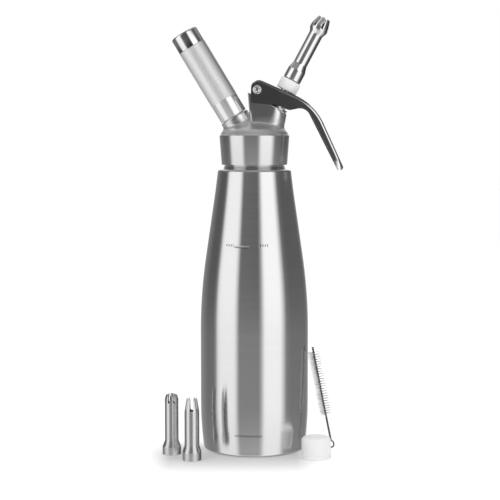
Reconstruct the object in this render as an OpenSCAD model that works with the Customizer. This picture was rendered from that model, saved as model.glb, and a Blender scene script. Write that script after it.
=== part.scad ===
// Whipped cream dispenser: steel bottle, screw-on head with a squeeze lever, charger holder,
// mounted nozzle, and its loose accessories standing beside it.
// Origin: centre of the bottle's base. +Z up, +X towards the lever, the front faces -Y.

/* [Bottle] */
// Largest diameter of the bottle
bottle_d = 90.4; // [84:0.2:96]
// Diameter of the foot
foot_d = 85; // [76:0.5:86]
// Height of the shoulder above the base
shoulder_z = 230.2; // [212:0.2:248]
// Diameter at the shoulder
shoulder_d = 61.6; // [59:0.2:66]
// Sheet thickness of the bottle
bottle_wall = 1.0; // [0.8:0.1:1.6]
// Height at which the body starts to taper
taper_z = 99; // [70:1:110]
// Radius of the edge round the foot
foot_edge_r = 2.4; // [2:0.2:6]

/* [Neck] */
// Root diameter of the neck thread
neck_root_d = 48.2; // [47.4:0.1:48.6]
// Wall of the threaded neck ring
neck_wall = 3.3; // [2.6:0.1:4]
// Height of the neck thread's ridge
thread_depth = 0.65; // [0.4:0.05:0.7]
// Height of the neck ring's rim above the shoulder
neck_rise = 18.4; // [17:0.2:20]
// Pitch of the neck thread
neck_pitch = 3; // [2.5:0.1:3.4]

/* [Head] */
// Diameter of the collar at its upper edge
collar_d = 58.4; // [56:0.2:62]
// Diameter of the collar at its lower edge
collar_low_d = 54.8; // [53.5:0.2:56]
// Height of the collar's straight band
collar_h = 24.3; // [22:0.1:27]
// Gap between the shoulder and the collar
collar_gap = 6.6; // [6:0.1:8]
// Height of the cone above the collar
cone_h = 4.3; // [3:0.1:6]
// Height of the dome above the cone
dome_h = 7.2; // [5:0.1:9]
// Radial clearance of the collar over the neck thread
collar_clear = 0.25; // [0.15:0.05:0.4]
// Half thickness of the tower between its flats
tower_half = 12.5; // [12:0.1:13]
// Distance of the tower's round side from the bottle axis
tower_x = 11.6; // [10:0.1:13]
// Reach of the tower's round side from there, at the height of the valve
tower_r = 15.4; // [14:0.1:16.5]

/* [Nozzle axis] */
// Height at which the nozzle and holder axes meet the bottle axis, above the shoulder
axes_rise = 18.2; // [17.5:0.1:19]
// Tilt of the nozzle axis from upright
nozzle_tilt = 27.9; // [24:0.1:30]
// Distance from the meeting point to the top of the tower, along the nozzle axis
tower_top_u = 39.6; // [37:0.1:42]
// Diameter of the valve stem
stem_d = 9.2; // [8:0.1:9.4]
// Bore of the valve stem
stem_bore_d = 4.8; // [4:0.1:5]
// Diameter of the stem's flange under the lever
flange_d = 16.4; // [15.4:0.1:17]
// Running clearance of the stem in its guide, on the radius
run_clear = 0.05; // [0.02:0.01:0.1]

/* [Valve spring] */
// Wire diameter of the valve spring
spring_wire = 0.9; // [0.7:0.05:1.1]
// Mean diameter of the valve spring
spring_d = 12.4; // [11.8:0.1:13]
// Number of turns of the valve spring
spring_turns = 4; // [3:1:5]

/* [Lever] */
// Height of the pivot above the shoulder
pivot_rise = 68.1; // [67:0.1:69]
// Distance of the pivot from the bottle axis
pivot_x = 2.2; // [1.5:0.1:3]
// Sheet thickness of the lever
lever_t = 1.5; // [1:0.1:1.8]
// Gap between the tower's flat and each cheek of the lever
cheek_gap = 0.3; // [0.2:0.05:0.5]
// Slope of the lever's web
web_slope = 23.4; // [22:0.1:25]
// Distance of the web's middle from the top of the tower, along the nozzle axis
web_u = 14.65; // [14.2:0.05:15]
// Width of the lever's handle
handle_w = 22.4; // [18:0.2:25]
// Horizontal reach of the lever's tip from the pivot
lever_reach = 71.4; // [64:0.2:76]
// Drop of the lever's tip below the pivot
lever_drop = 64.2; // [56:0.2:70]
// Diameter of the lever's pivot screw
screw_d = 4; // [3:0.1:5]
// Diameter of the pivot screw's head
screw_head_d = 7.3; // [6.5:0.1:8]

/* [Ring and nozzle] */
// Diameter of the white ring under the nozzle
ring_d = 17.3; // [16:0.1:19]
// Height of the white ring
ring_h = 9.4; // [8:0.1:11]
// Length of a nozzle's socket on the stem
socket_l = 8; // [6:0.1:9]
// Length of the mounted nozzle
nozzle_l = 57; // [50:0.5:64]
// Diameter of the mounted nozzle's base
nozzle_base_d = 15; // [14.4:0.1:16]
// Diameter of the nozzles' tube
nozzle_tube_d = 11.7; // [11.5:0.1:12.4]
// Largest diameter of the mounted nozzle's crown
crown_d = 14.5; // [13:0.1:16]
// Radial clearance of a nozzle over the stem
socket_clear = 0.3; // [0.2:0.05:0.5]
// Thickness of the washer under the nozzle
washer_t = 0.5; // [0.4:0.1:1]

/* [Charger holder] */
// Tilt of the holder axis from upright, to the other side
holder_tilt = 31.2; // [29:0.1:34]
// Distance from the meeting point to the top of the holder's boss
boss_u = 32.7; // [31:0.1:35]
// Diameter of the boss
boss_d = 24.6; // [24:0.1:26]
// Outer diameter of the charger holder
holder_d = 23.4; // [22.6:0.1:24]
// Length of the charger holder
holder_l = 80; // [79:0.5:90]
// Length of the polished end
holder_end_l = 13.4; // [11:0.1:15]
// Length of the smooth band at the holder's foot
holder_band_l = 16; // [12:0.5:22]
// Diameter of the gas charger
charger_d = 18.6; // [18.2:0.1:18.8]
// Length of the gas charger
charger_l = 66; // [62:0.5:66]
// Diameter of the gas charger's neck
charger_neck_d = 8.8; // [8:0.1:9.2]
// Clearance between the charger and its holder, on the radius
charger_clear = 0.25; // [0.2:0.05:0.4]
// Pitch of the holder's thread
holder_pitch = 1.75; // [1.5:0.05:2]

/* [Accessories] */
// Length of the spare nozzle with the domed top
domed_l = 50.2; // [46:0.2:58]
// Length of the spare nozzle with the conical top
conical_l = 50.4; // [46:0.2:58]
// Outer diameter of the protective cap
cap_d = 23.8; // [22:0.1:27]
// Height of the protective cap
cap_h = 17.4; // [15:0.2:26]
// Wall of the protective cap
cap_wall = 1.3; // [1:0.1:2]
// Length of the cleaning brush
brush_l = 86.6; // [80:0.2:96]
// Diameter over the bristles
bristle_d = 10.8; // [8:0.2:11]
// Length of the bristled part
bristle_l = 55.4; // [45:0.2:58]
// Diameter of the brush's twisted wire
brush_wire_d = 1.7; // [1.4:0.1:2]

/* [Hidden] */
$fn = 96;
steel = "#b4b6b8";
polished = "#8d9094";
dark_steel = "#4a4c50";
white_plastic = "#f1f1ee";
clear_plastic = "#eef2f4";
black_rubber = "#26272a";
brass = "#b99b55";
slack = 0.1; // gap between pieces of one body that seat on each other
cut = 1; // how far a cut runs past the face that it opens

neck_bore_d = neck_root_d - 2 * neck_wall;

// --- plane geometry -------------------------------------------------------------------------

function unit(v) = v / norm(v);

// Arc that rounds the corner p between its neighbours a and b with radius r
function corner_arc(a, p, b, r, steps) =
    let (
        u = unit(a - p),
        v = unit(b - p),
        half = acos(max(-1, min(1, u * v))) / 2,
        centre = p + unit(u + v) * r / sin(half),
        from = p + u * r / tan(half) - centre,
        to = p + v * r / tan(half) - centre,
        a0 = atan2(from[1], from[0]),
        turn = (atan2(to[1], to[0]) - a0 + 540) % 360 - 180
    )
    [for (i = [0:steps]) centre + r * [cos(a0 + turn * i / steps), sin(a0 + turn * i / steps)]];

// Closed outline from corners [x, y, radius]; a corner with no radius stays sharp
function rounded(corners, steps = 6) =
    let (n = len(corners))
    [
        for (i = [0:n - 1])
            let (
                p = corners[i],
                a = corners[(i + n - 1) % n],
                b = corners[(i + 1) % n]
            )
            each (p[2] == undef || p[2] == 0)
                ? [[p[0], p[1]]]
                : corner_arc([a[0], a[1]], [p[0], p[1]], [b[0], b[1]], p[2], steps)
    ];

module ring_of(r_in, r_out, z0, z1) {
    rotate_extrude()
        translate([r_in, z0])
            square([r_out - r_in, z1 - z0]);
}

// Outline in the XZ plane, made solid from y = -half to y = half
module plate_xz(points, half) {
    rotate([90, 0, 0])
        translate([0, 0, -half])
            linear_extrude(2 * half)
                polygon(points);
}

// --- bottle and neck ------------------------------------------------------------------------

bottle_r = bottle_d / 2;
foot_r = foot_d / 2;
shoulder_r = shoulder_d / 2;
foot_z = 40; // height at which the foot's taper reaches the full diameter
flare_h = 22; // the last stretch below the shoulder, where the taper eases off
flare_fall = 0.8; // how steep that stretch is, as a share of the taper
taper_l = shoulder_z - taper_z;
// The taper bends in, runs straight and eases off: its slope follows from the two diameters
bend_share = 0.47;
taper_slope = (bottle_r - shoulder_r)
    / (taper_l * (1 - bend_share / 2) - flare_h * (1 - flare_fall) / 2);
function taper_drop(h) =
    let (
        bend = taper_l * bend_share,
        flare = taper_l - flare_h,
        past = max(0, h - flare)
    )
    (h < bend ? h * h / (2 * bend) : h - bend / 2) * taper_slope
        - past * past / (2 * flare_h) * (1 - flare_fall) * taper_slope;
function foot_swell(z) = bottle_r - (bottle_r - foot_r) * pow(1 - z / foot_z, 2);

neck_root_r = neck_root_d / 2;
crest_r = neck_root_r + thread_depth;
weld_gap = 0.05;
bottle_neck_r = neck_root_r + weld_gap + bottle_wall;
bottle_neck_z = shoulder_z + 6; // top of the bottle's own short neck
neck_top_z = shoulder_z + neck_rise;
foot_steps = 6;
taper_steps = 24;

function bottle_side(inset) = concat(
    [for (i = [1:foot_steps]) let (z = foot_edge_r + (foot_z - foot_edge_r) * i / foot_steps)
        [foot_swell(z) - inset, z]],
    [for (i = [0:taper_steps]) let (h = taper_l * i / taper_steps)
        [bottle_r - taper_drop(h) - inset, taper_z + h - inset * 0.15]]
);
function foot_corner(inset) =
    let (r = foot_edge_r - inset, x = foot_swell(foot_edge_r) - inset)
    [for (a = [0:15:90]) [x - r + r * sin(a), foot_edge_r - r * cos(a)]];

shoulder_step = 2; // width of the rounded lip at the shoulder
module bottle() {
    lip_r = shoulder_r - shoulder_step;
    outside = concat(
        [[0, 0]],
        foot_corner(0),
        bottle_side(0),
        [
            [shoulder_r - 0.1, shoulder_z + 1.2],
            [shoulder_r - 0.7, shoulder_z + 2.4],
            [lip_r, shoulder_z + 3],
            [bottle_neck_r + 1.9, shoulder_z + 4.1],
            [bottle_neck_r + 0.7, shoulder_z + 4.9],
            [bottle_neck_r, bottle_neck_z],
            [0, bottle_neck_z]
        ]
    );
    w = bottle_wall;
    inside = concat(
        [[0, w]],
        foot_corner(w),
        bottle_side(w),
        [
            [lip_r - w, shoulder_z + 1.8],
            [bottle_neck_r + 1.2 - w, shoulder_z + 3.2],
            [bottle_neck_r - w, shoulder_z + 4.6],
            [bottle_neck_r - w, bottle_neck_z + cut],
            [0, bottle_neck_z + cut]
        ]
    );
    color(steel)
        difference() {
            rotate_extrude() polygon(outside);
            rotate_extrude() polygon(inside);
        }
}

// Helical ridge of a thread. Its root lies a little inside the cylinder that carries it.
ridge_sides = 24; // rings in one turn
module thread_ridge(root_r, depth, pitch, z0, turns) {
    sink = 0.25;
    foot_half = pitch * 0.32;
    crest_half = pitch * 0.1;
    rings = round(turns * ridge_sides);
    function fade(i) = min(1, min(i, rings - i) / (ridge_sides / 6));
    points = [
        for (i = [0:rings])
            let (a = 360 * i / ridge_sides, z = z0 + pitch * i / ridge_sides, d = depth * max(0.1, fade(i)))
            for (q = [
                [root_r - sink, -foot_half], [root_r - sink, foot_half],
                [root_r + d, crest_half], [root_r + d, -crest_half]
            ])
                [q[0] * cos(a), q[0] * sin(a), z + q[1]]
    ];
    tube_mesh(points, rings + 1, 4);
}

// Closed mesh over rings of equal size, listed one after the other
module tube_mesh(points, rings, sides) {
    walls = [
        for (i = [0:rings - 2])
            for (k = [0:sides - 1])
                let (
                    a = i * sides + k,
                    b = i * sides + (k + 1) % sides
                )
                each [[a, a + sides, b], [b, a + sides, b + sides]]
    ];
    first = [for (k = [1:sides - 2]) [0, k, k + 1]];
    last = (rings - 1) * sides;
    ends = [for (k = [1:sides - 2]) [last, last + k + 1, last + k]];
    polyhedron(points, concat(walls, first, ends), convexity = 8);
}

neck_foot_z = shoulder_z - 1.6;
thread_turns = 2.75;
module neck_ring() {
    color(steel)
        union() {
            rotate_extrude()
                polygon([
                    [neck_bore_d / 2, neck_foot_z],
                    [neck_root_r, neck_foot_z],
                    [neck_root_r, neck_top_z - 0.6],
                    [neck_root_r - 0.6, neck_top_z],
                    [neck_bore_d / 2, neck_top_z]
                ]);
            thread_ridge(neck_root_r, thread_depth, neck_pitch, bottle_neck_z + 2.2, thread_turns);
        }
}

// --- head -----------------------------------------------------------------------------------

collar_z = shoulder_z + collar_gap;
collar_top_z = collar_z + collar_h;
cone_top_z = collar_top_z + cone_h;
collar_bore_r = crest_r + collar_clear;
gasket_h = 3.2;
seat_z = neck_top_z + 2 * slack + gasket_h; // ceiling that the gasket seals against
recess_r = neck_bore_d / 2 - 0.4;
recess_z = seat_z + 6.5;
axes_z = shoulder_z + axes_rise;
pivot_z = shoulder_z + pivot_rise;
cone_r = 26;

module along_nozzle() translate([0, 0, axes_z]) rotate([0, nozzle_tilt, 0]) children();
module along_holder() translate([0, 0, axes_z]) rotate([0, -holder_tilt, 0]) children();

module head_gasket() {
    color(black_rubber)
        ring_of(neck_bore_d / 2 + 0.3, collar_bore_r - 0.3, neck_top_z + slack, seat_z - slack);
}

module collar_solid() {
    dome_r = (cone_r * cone_r + dome_h * dome_h) / (2 * dome_h);
    dome_centre = cone_top_z + dome_h - dome_r;
    dome_edge = asin(cone_r / dome_r);
    dome_steps = 10;
    rotate_extrude()
        polygon(concat(
            [
                [0, collar_z],
                [collar_low_d / 2 - 0.4, collar_z],
                [collar_low_d / 2, collar_z + 0.4],
                [(collar_d + collar_low_d) / 4 + 0.1, collar_z + collar_h * 0.5],
                [collar_d / 2, collar_top_z - 1],
                [collar_d / 2 - 0.1, collar_top_z - 0.3],
                [collar_d / 2 - 0.6, collar_top_z + 0.1]
            ],
            [for (i = [0:dome_steps]) let (a = dome_edge * (1 - i / dome_steps))
                [dome_r * sin(a), dome_centre + dome_r * cos(a)]]
        ));
}

tower_foot_z = collar_top_z;
tower_valve_z = shoulder_z + 48.4; // height at which the tower's sides have their stated places
tower_cap_z = pivot_z + 3;
tower_lean = 12.4; // lean of the round side towards the lever
tower_left = 4.2; // how far the tower reaches past the bottle axis, on the holder's side
tower_left_lean = 4.6; // lean of that side towards the holder
tower_corner_r = 3;
lug_r = 5;

// Slice of the tower at height z: flat in front and behind, round towards the lever
module tower_slice(z) {
    rise = z - tower_valve_z;
    mid = tower_x + rise * tan(tower_lean);
    left = -tower_left - rise * tan(tower_left_lean);
    reach = tower_r - tower_half;
    arc_steps = 20;
    slice_t = 0.01;
    translate([0, 0, z])
        linear_extrude(height = slice_t)
            polygon(concat(
                [for (i = [0:arc_steps]) let (a = 90 * (2 * i / arc_steps - 1))
                    [mid + reach + tower_half * cos(a), tower_half * sin(a)]],
                corner_arc([mid, tower_half], [left, tower_half], [left, 0], tower_corner_r, 4),
                corner_arc([left, 0], [left, -tower_half], [mid, -tower_half], tower_corner_r, 4)
            ));
}

module tower_solid() {
    difference() {
        hull() {
            tower_slice(tower_foot_z);
            tower_slice(tower_cap_z);
        }
        along_nozzle()
            translate([-60, -40, tower_top_u])
                cube([120, 80, 60]);
    }
}

// The lug between the lever's cheeks, round about the pivot
module lug_solid() {
    lug_steps = 12;
    foot = pivot_z - 14;
    plate_xz(concat(
        [[pivot_x - lug_r - 1, foot], [pivot_x + lug_r + 2.2, foot], [pivot_x + lug_r + 0.6, pivot_z - 4]],
        [for (i = [0:lug_steps]) let (a = 180 * i / lug_steps)
            [pivot_x + lug_r * cos(a), pivot_z + lug_r * sin(a)]]
    ), tower_half);
}

guide_r = 7.4;
guide_l = 9.5;
passage_r = stem_d / 2 + 0.6;
valve_seat_u = 6;
seat_boss_r = 8.5;

module boss_solid() {
    boss_r = boss_d / 2;
    rotate_extrude()
        polygon(concat(
            [[0, 6], [boss_r, 6]],
            corner_arc([boss_r, 6], [boss_r, boss_u], [0, boss_u], 1.4, 5),
            [[0, boss_u]]
        ));
}

nipple_pocket_r = 7.4;
nipple_pocket_l = 8;
module head_body() {
    color(steel)
        difference() {
            union() {
                difference() {
                    union() {
                        collar_solid();
                        tower_solid();
                        lug_solid();
                        along_holder() boss_solid();
                    }
                    // room for the neck, the gasket and the cream
                    translate([0, 0, collar_z - cut])
                        cylinder(r = collar_bore_r, h = seat_z - collar_z + cut);
                    translate([0, 0, seat_z - cut])
                        cylinder(r = recess_r, h = recess_z - seat_z + cut);
                }
                along_nozzle()
                    translate([0, 0, valve_seat_u])
                        cylinder(r = seat_boss_r, h = 15);
            }
            along_nozzle() {
                translate([0, 0, valve_seat_u - cut])
                    cylinder(r = passage_r, h = tower_top_u);
                translate([0, 0, tower_top_u - guide_l - slack])
                    cylinder(r = guide_r + slack / 2, h = guide_l + 10);
            }
            along_holder() {
                translate([0, 0, 6])
                    cylinder(r = 1.6, h = boss_u);
                translate([0, 0, boss_u - nipple_pocket_l])
                    cylinder(r = nipple_pocket_r + slack / 2, h = nipple_pocket_l + cut);
            }
            translate([pivot_x, tower_half + cut, pivot_z])
                rotate([90, 0, 0])
                    cylinder(r = screw_d / 2 + run_clear, h = 2 * (tower_half + cut));
        }
}

// --- valve ----------------------------------------------------------------------------------

stem_r = stem_d / 2;
guide_flange_r = 8.8;
guide_flange_h = 1.4;
oring_wire = 1.6;
oring_u = tower_top_u - 4;
web_gap = 1.5; // from the web's middle to the flange below it and to the ring above it
flange_u = tower_top_u + web_u - web_gap;
flange_h = 1.6;
ring_u = tower_top_u + web_u + web_gap;
washer_u = ring_u + ring_h + slack / 2;
nozzle_u = washer_u + washer_t + slack / 2;
stem_top_u = ring_u + ring_h + socket_l + 0.6;
waist_r = 3.4;
tail_r = 2.9;
seal_h = 2;
seal_r = 6.8;
nut_h = 2.9;
tail_end_u = valve_seat_u - slack - seal_h - slack - nut_h;

module stem_guide() {
    color(brass)
        along_nozzle()
            rotate_extrude()
                polygon([
                    [stem_r + run_clear, tower_top_u - guide_l],
                    [guide_r, tower_top_u - guide_l],
                    [guide_r, tower_top_u + slack],
                    [guide_flange_r, tower_top_u + slack],
                    [guide_flange_r, tower_top_u + slack + guide_flange_h],
                    [stem_r + run_clear, tower_top_u + slack + guide_flange_h],
                    // groove of the sealing ring
                    [stem_r + run_clear, oring_u + oring_wire / 2 + slack],
                    [stem_r + run_clear + oring_wire + slack, oring_u + oring_wire / 2 + slack],
                    [stem_r + run_clear + oring_wire + slack, oring_u - oring_wire / 2 - slack],
                    [stem_r + run_clear, oring_u - oring_wire / 2 - slack]
                ]);
}

module stem_oring() {
    color(black_rubber)
        along_nozzle()
            translate([0, 0, oring_u])
                rotate_extrude()
                    translate([stem_r + run_clear + oring_wire / 2, 0])
                        circle(d = oring_wire, $fn = 32);
}

module valve_stem() {
    color(steel)
        along_nozzle()
            difference() {
                rotate_extrude()
                    polygon([
                        [0, tail_end_u],
                        [tail_r, tail_end_u],
                        [tail_r, valve_seat_u - slack],
                        [waist_r, valve_seat_u - slack],
                        [waist_r, valve_seat_u + 8],
                        [stem_r, valve_seat_u + 9.5],
                        [stem_r, flange_u - flange_h],
                        [flange_d / 2, flange_u - flange_h],
                        [flange_d / 2, flange_u],
                        [stem_r, flange_u],
                        [stem_r, stem_top_u - 0.5],
                        [stem_r - 0.5, stem_top_u],
                        [0, stem_top_u]
                    ]);
                translate([0, 0, valve_seat_u + 1.5])
                    cylinder(d = stem_bore_d, h = stem_top_u);
                // cream ports above the seal
                for (a = [0, 90])
                    translate([0, 0, valve_seat_u + 4])
                        rotate([90, 0, a])
                            cylinder(r = 1.4, h = 4 * waist_r, center = true);
            }
}

module valve_seal() {
    color(black_rubber)
        along_nozzle()
            ring_of(tail_r + slack / 2, seal_r, valve_seat_u - slack - seal_h, valve_seat_u - slack * 1.5);
}

module seal_nut() {
    color(steel)
        along_nozzle()
            difference() {
                translate([0, 0, tail_end_u])
                    cylinder(r = 5.6, h = nut_h, $fn = 6);
                translate([0, 0, tail_end_u - cut])
                    cylinder(r = tail_r + slack / 2, h = nut_h + 2 * cut);
            }
}

spring_rings = 8; // rings in one curl
spring_sides = 6;
spring_low_u = tower_top_u + slack + guide_flange_h + slack;
spring_high_u = flange_u - flange_h - slack;
spring_rise = spring_high_u - spring_low_u - spring_wire;
function spring_line(i) =
    let (a = 360 * i / spring_rings)
    [
        spring_d / 2 * cos(a), spring_d / 2 * sin(a),
        spring_low_u + spring_wire / 2 + spring_rise * i / (spring_rings * spring_turns)
    ];
spring_count = spring_rings * spring_turns;
spring_gap = min([
    for (i = [0:spring_count - spring_rings / 2])
        for (j = [i + spring_rings / 2:spring_count])
            norm(spring_line(i) - spring_line(j))
]) - spring_wire;
echo(str("valve spring: least gap to itself ", spring_gap, " mm"));

module valve_spring() {
    points = [
        for (i = [0:spring_count])
            let (c = spring_line(i), a = 360 * i / spring_rings)
            for (k = [0:spring_sides - 1])
                let (
                    b = 360 * k / spring_sides,
                    out = spring_wire / 2 * cos(b),
                    up = spring_wire / 2 * sin(b)
                )
                c + [out * cos(a), out * sin(a), up]
    ];
    color(steel)
        along_nozzle() tube_mesh(points, spring_count + 1, spring_sides);
}

// --- lever ----------------------------------------------------------------------------------

cheek_in = tower_half + cheek_gap;
cheek_out = cheek_in + lever_t;
lever_left = pivot_x - 5.1;
tip_x = pivot_x + lever_reach;
tip_z = pivot_z - lever_drop;
handle_lean = 24.8; // lean of the handle from upright
elbow_r = 46;
tip_w = 4.6; // thickness of the handle at its tip

// A point on the outer face of the web, and where that face meets the handle's outer face
web_mid = [
    (tower_top_u + web_u) * sin(nozzle_tilt),
    axes_z + (tower_top_u + web_u) * cos(nozzle_tilt)
];
web_dir = [cos(web_slope), -sin(web_slope)];
web_out = [sin(web_slope), cos(web_slope)];
handle_dir = [sin(handle_lean), -cos(handle_lean)];
handle_out = [cos(handle_lean), sin(handle_lean)];
tip = [tip_x, tip_z];

// Where the web's face and the handle's face meet, both drawn in by t
function elbow(t) =
    let (
        a = web_mid + web_out * (lever_t / 2 - t),
        b = tip - handle_out * t,
        along = cross(b - a, handle_dir) / cross(web_dir, handle_dir)
    )
    a + web_dir * along;
function web_at(x, t) =
    let (a = web_mid + web_out * (lever_t / 2 - t))
    a[1] - (x - a[0]) * tan(web_slope);

// Half the lever's width in plan, drawn in by t
past_left = 20; // how far the plan runs on past the lever's open end
function lever_plan(t) = rounded([
    [lever_left - past_left, -cheek_out + t],
    [pivot_x + 18, -cheek_out + t, 60],
    [tip_x + 0.4 - t, -handle_w / 2 + t, 4],
    [tip_x + 0.4 - t, handle_w / 2 - t, 4],
    [pivot_x + 18, cheek_out - t, 60],
    [lever_left - past_left, cheek_out - t]
], 5);

module in_plan(t) {
    translate([0, 0, tip_z - 20])
        linear_extrude(pivot_z - tip_z + 60)
            polygon(lever_plan(t));
}

module lever() {
    corner = elbow(0);
    tip_in = tip - handle_out * tip_w + handle_dir * 0.5;
    outline = rounded([
        [lever_left, pivot_z - 10.8, 1.5],
        [lever_left, web_at(lever_left, 0), 6.4],
        [corner[0], corner[1], elbow_r],
        [tip[0], tip[1], 2],
        [tip_in[0], tip_in[1], 1.4],
        [pivot_x + 40.6, pivot_z - 13.6, 9],
        [pivot_x + 27.2, pivot_z - 16.4, 6],
        [pivot_x + 14.6, pivot_z - 12.4, 14]
    ], 8);
    inner = elbow(lever_t);
    closed_tip = tip - handle_out * lever_t - handle_dir * 4;
    hollow = concat(
        rounded([
            [lever_left - 9, web_at(lever_left - 9, lever_t)],
            [inner[0], inner[1], elbow_r - lever_t],
            [closed_tip[0], closed_tip[1]],
            [closed_tip[0] - 22, closed_tip[1] - 10],
            [lever_left - 9, closed_tip[1] - 10]
        ], 8)
    );
    color(dark_steel)
        difference() {
            intersection() {
                plate_xz(outline, cheek_out);
                in_plan(0);
            }
            intersection() {
                plate_xz(hollow, cheek_in);
                in_plan(lever_t);
            }
            along_nozzle()
                translate([0, 0, tower_top_u + web_u - 6])
                    cylinder(r = stem_r + 1.6, h = 12);
            translate([pivot_x, cheek_out + cut, pivot_z])
                rotate([90, 0, 0])
                    cylinder(r = screw_d / 2 + slack / 2, h = 2 * (cheek_out + cut));
        }
}

screw_head_h = 1.7;
module lever_screw() {
    color(polished)
        translate([pivot_x, 0, pivot_z])
            rotate([90, 0, 0])
                difference() {
                    rotate_extrude()
                        polygon([
                            [0, -cheek_out - 2.2],
                            [screw_d / 2, -cheek_out - 2.2],
                            [screw_d / 2, cheek_out + slack / 2],
                            [screw_head_d / 2, cheek_out + slack / 2],
                            [screw_head_d / 2, cheek_out + screw_head_h * 0.55],
                            [screw_head_d / 2 - 0.9, cheek_out + screw_head_h * 0.9],
                            [0, cheek_out + screw_head_h]
                        ]);
                    // cross recess
                    for (a = [0, 90])
                        rotate(a)
                            translate([-1.9, -0.45, cheek_out + screw_head_h - 1])
                                cube([3.8, 0.9, 2]);
                }
}

module lever_nut() {
    color(polished)
        translate([pivot_x, cheek_out + slack / 2, pivot_z])
            rotate([-90, 0, 0])
                difference() {
                    union() {
                        cylinder(r = screw_head_d / 2, h = 2.2, $fn = 6);
                        cylinder(r = screw_head_d / 2 - 0.7, h = 3);
                    }
                    translate([0, 0, -cut])
                        cylinder(r = screw_d / 2 + slack / 2, h = 2.2 + cut);
                }
}

// --- ring, washer and nozzles ---------------------------------------------------------------

nozzle_bore_r = stem_r + socket_clear;
nozzle_tube_r = nozzle_tube_d / 2;

module nozzle_ring() {
    color(white_plastic)
        along_nozzle()
            rotate_extrude()
                polygon([
                    [stem_r + slack / 2, ring_u],
                    [ring_d / 2 - 0.8, ring_u],
                    [ring_d / 2, ring_u + 0.8],
                    [ring_d / 2, ring_u + ring_h - 0.8],
                    [ring_d / 2 - 0.8, ring_u + ring_h],
                    [stem_r + slack / 2, ring_u + ring_h]
                ]);
}

module nozzle_washer() {
    color(black_rubber)
        along_nozzle()
            ring_of(nozzle_bore_r, nozzle_base_d / 2 - 0.2, washer_u, washer_u + washer_t);
}

// Slots cut from a nozzle's mouth, with round ends
module mouth_slots(count, w, depth, top, reach) {
    for (i = [0:count - 1])
        rotate(360 * (i + 0.5) / count) {
            translate([0, -w / 2, top - depth + w / 2])
                cube([reach, w, depth]);
            translate([0, 0, top - depth + w / 2])
                rotate([0, 90, 0])
                    cylinder(d = w, h = reach, $fn = 32);
        }
}

// Nozzle from the corners of its outer and inner outline above the tube
module nozzle_solid(base_r, tube_r, mouth_out, mouth_in, slots, slot_w, slot_depth, length) {
    band = 9;
    difference() {
        rotate_extrude()
            polygon(rounded(concat(
                [
                    [0, 0], [base_r - 0.4, 0], [base_r, 0.4], [base_r, band, 2],
                    [tube_r, band + 5.5, 3]
                ],
                mouth_out,
                [[0, length]]
            ), 4));
        rotate_extrude()
            polygon(rounded(concat(
                [[0, -cut], [nozzle_bore_r, -cut]],
                mouth_in,
                [[0, length + cut]]
            ), 4));
        mouth_slots(slots, slot_w, slot_depth, length, 3 * base_r);
    }
}

crown_slots = 6;
crown_slot_w = 4.1;
crown_slot_depth = 9.5;
module nozzle() {
    crown_r = crown_d / 2;
    crown_wall = 1.3;
    color(polished)
        along_nozzle()
            translate([0, 0, nozzle_u])
                nozzle_solid(
                    nozzle_base_d / 2, nozzle_tube_r,
                    [
                        [nozzle_tube_r, nozzle_l - 17, 6], [crown_r, nozzle_l - 10.5, 5],
                        [crown_r, nozzle_l - 5.5, 5], [crown_r - 1.9, nozzle_l - 0.3],
                        [crown_r - 2.3, nozzle_l]
                    ],
                    [
                        [nozzle_bore_r, nozzle_l - 15, 4], [crown_r - crown_wall, nozzle_l - 9.5, 4],
                        [crown_r - crown_wall, nozzle_l - 5.5, 4],
                        [crown_r - crown_wall - 2.2, nozzle_l + cut]
                    ],
                    crown_slots, crown_slot_w, crown_slot_depth, nozzle_l
                );
}

spare_base_d = 15.3;
domed_at = [-68, -25];
module spare_nozzle_domed() {
    color(polished)
        translate([domed_at[0], domed_at[1], 0])
            nozzle_solid(
                spare_base_d / 2, nozzle_tube_r,
                [
                    [nozzle_tube_r, domed_l - 6, 5], [nozzle_tube_r - 1.3, domed_l - 1.8, 2],
                    [nozzle_tube_r - 3, domed_l]
                ],
                [
                    [nozzle_bore_r, domed_l - 6, 3], [nozzle_bore_r - 1.6, domed_l - 2.2, 1],
                    [2.4, domed_l + cut]
                ],
                8, 1.5, 7.5, domed_l
            );
}

conical_at = [-50.5, -47];
conical_tube_r = 6;
module spare_nozzle_conical() {
    color(polished)
        translate([conical_at[0], conical_at[1], 0])
            nozzle_solid(
                spare_base_d / 2, conical_tube_r,
                [[conical_tube_r, conical_l - 10.5, 2], [4.3, conical_l - 0.4], [4, conical_l]],
                [[nozzle_bore_r, conical_l - 10.5, 1], [3, conical_l + cut]],
                6, 2.5, 10.5, conical_l
            );
}

// --- charger holder -------------------------------------------------------------------------

holder_r = holder_d / 2;
charger_r = charger_d / 2;
charger_bore_r = charger_r + charger_clear;
nipple_l = 6 * holder_pitch; // six turns free the holder from the nipple
nipple_root_r = charger_bore_r - 0.7;
nipple_ridge = 0.45;
nipple_bore_r = charger_neck_d / 2 + 0.9;
pin_base_r = 4;
pin_base_h = 2;
pin_r = 0.9;
seal_top = boss_u + 4.2;
charger_u = seal_top + slack;
charger_wall = 1.5;
cap_in_u = charger_u + charger_l + 0.6;
holder_low_u = boss_u + 0.3;
holder_top_u = boss_u + holder_l;
tube_end_u = holder_top_u - holder_end_l;
rebate_r = holder_r - 1.1;
rebate_l = 5;

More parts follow.
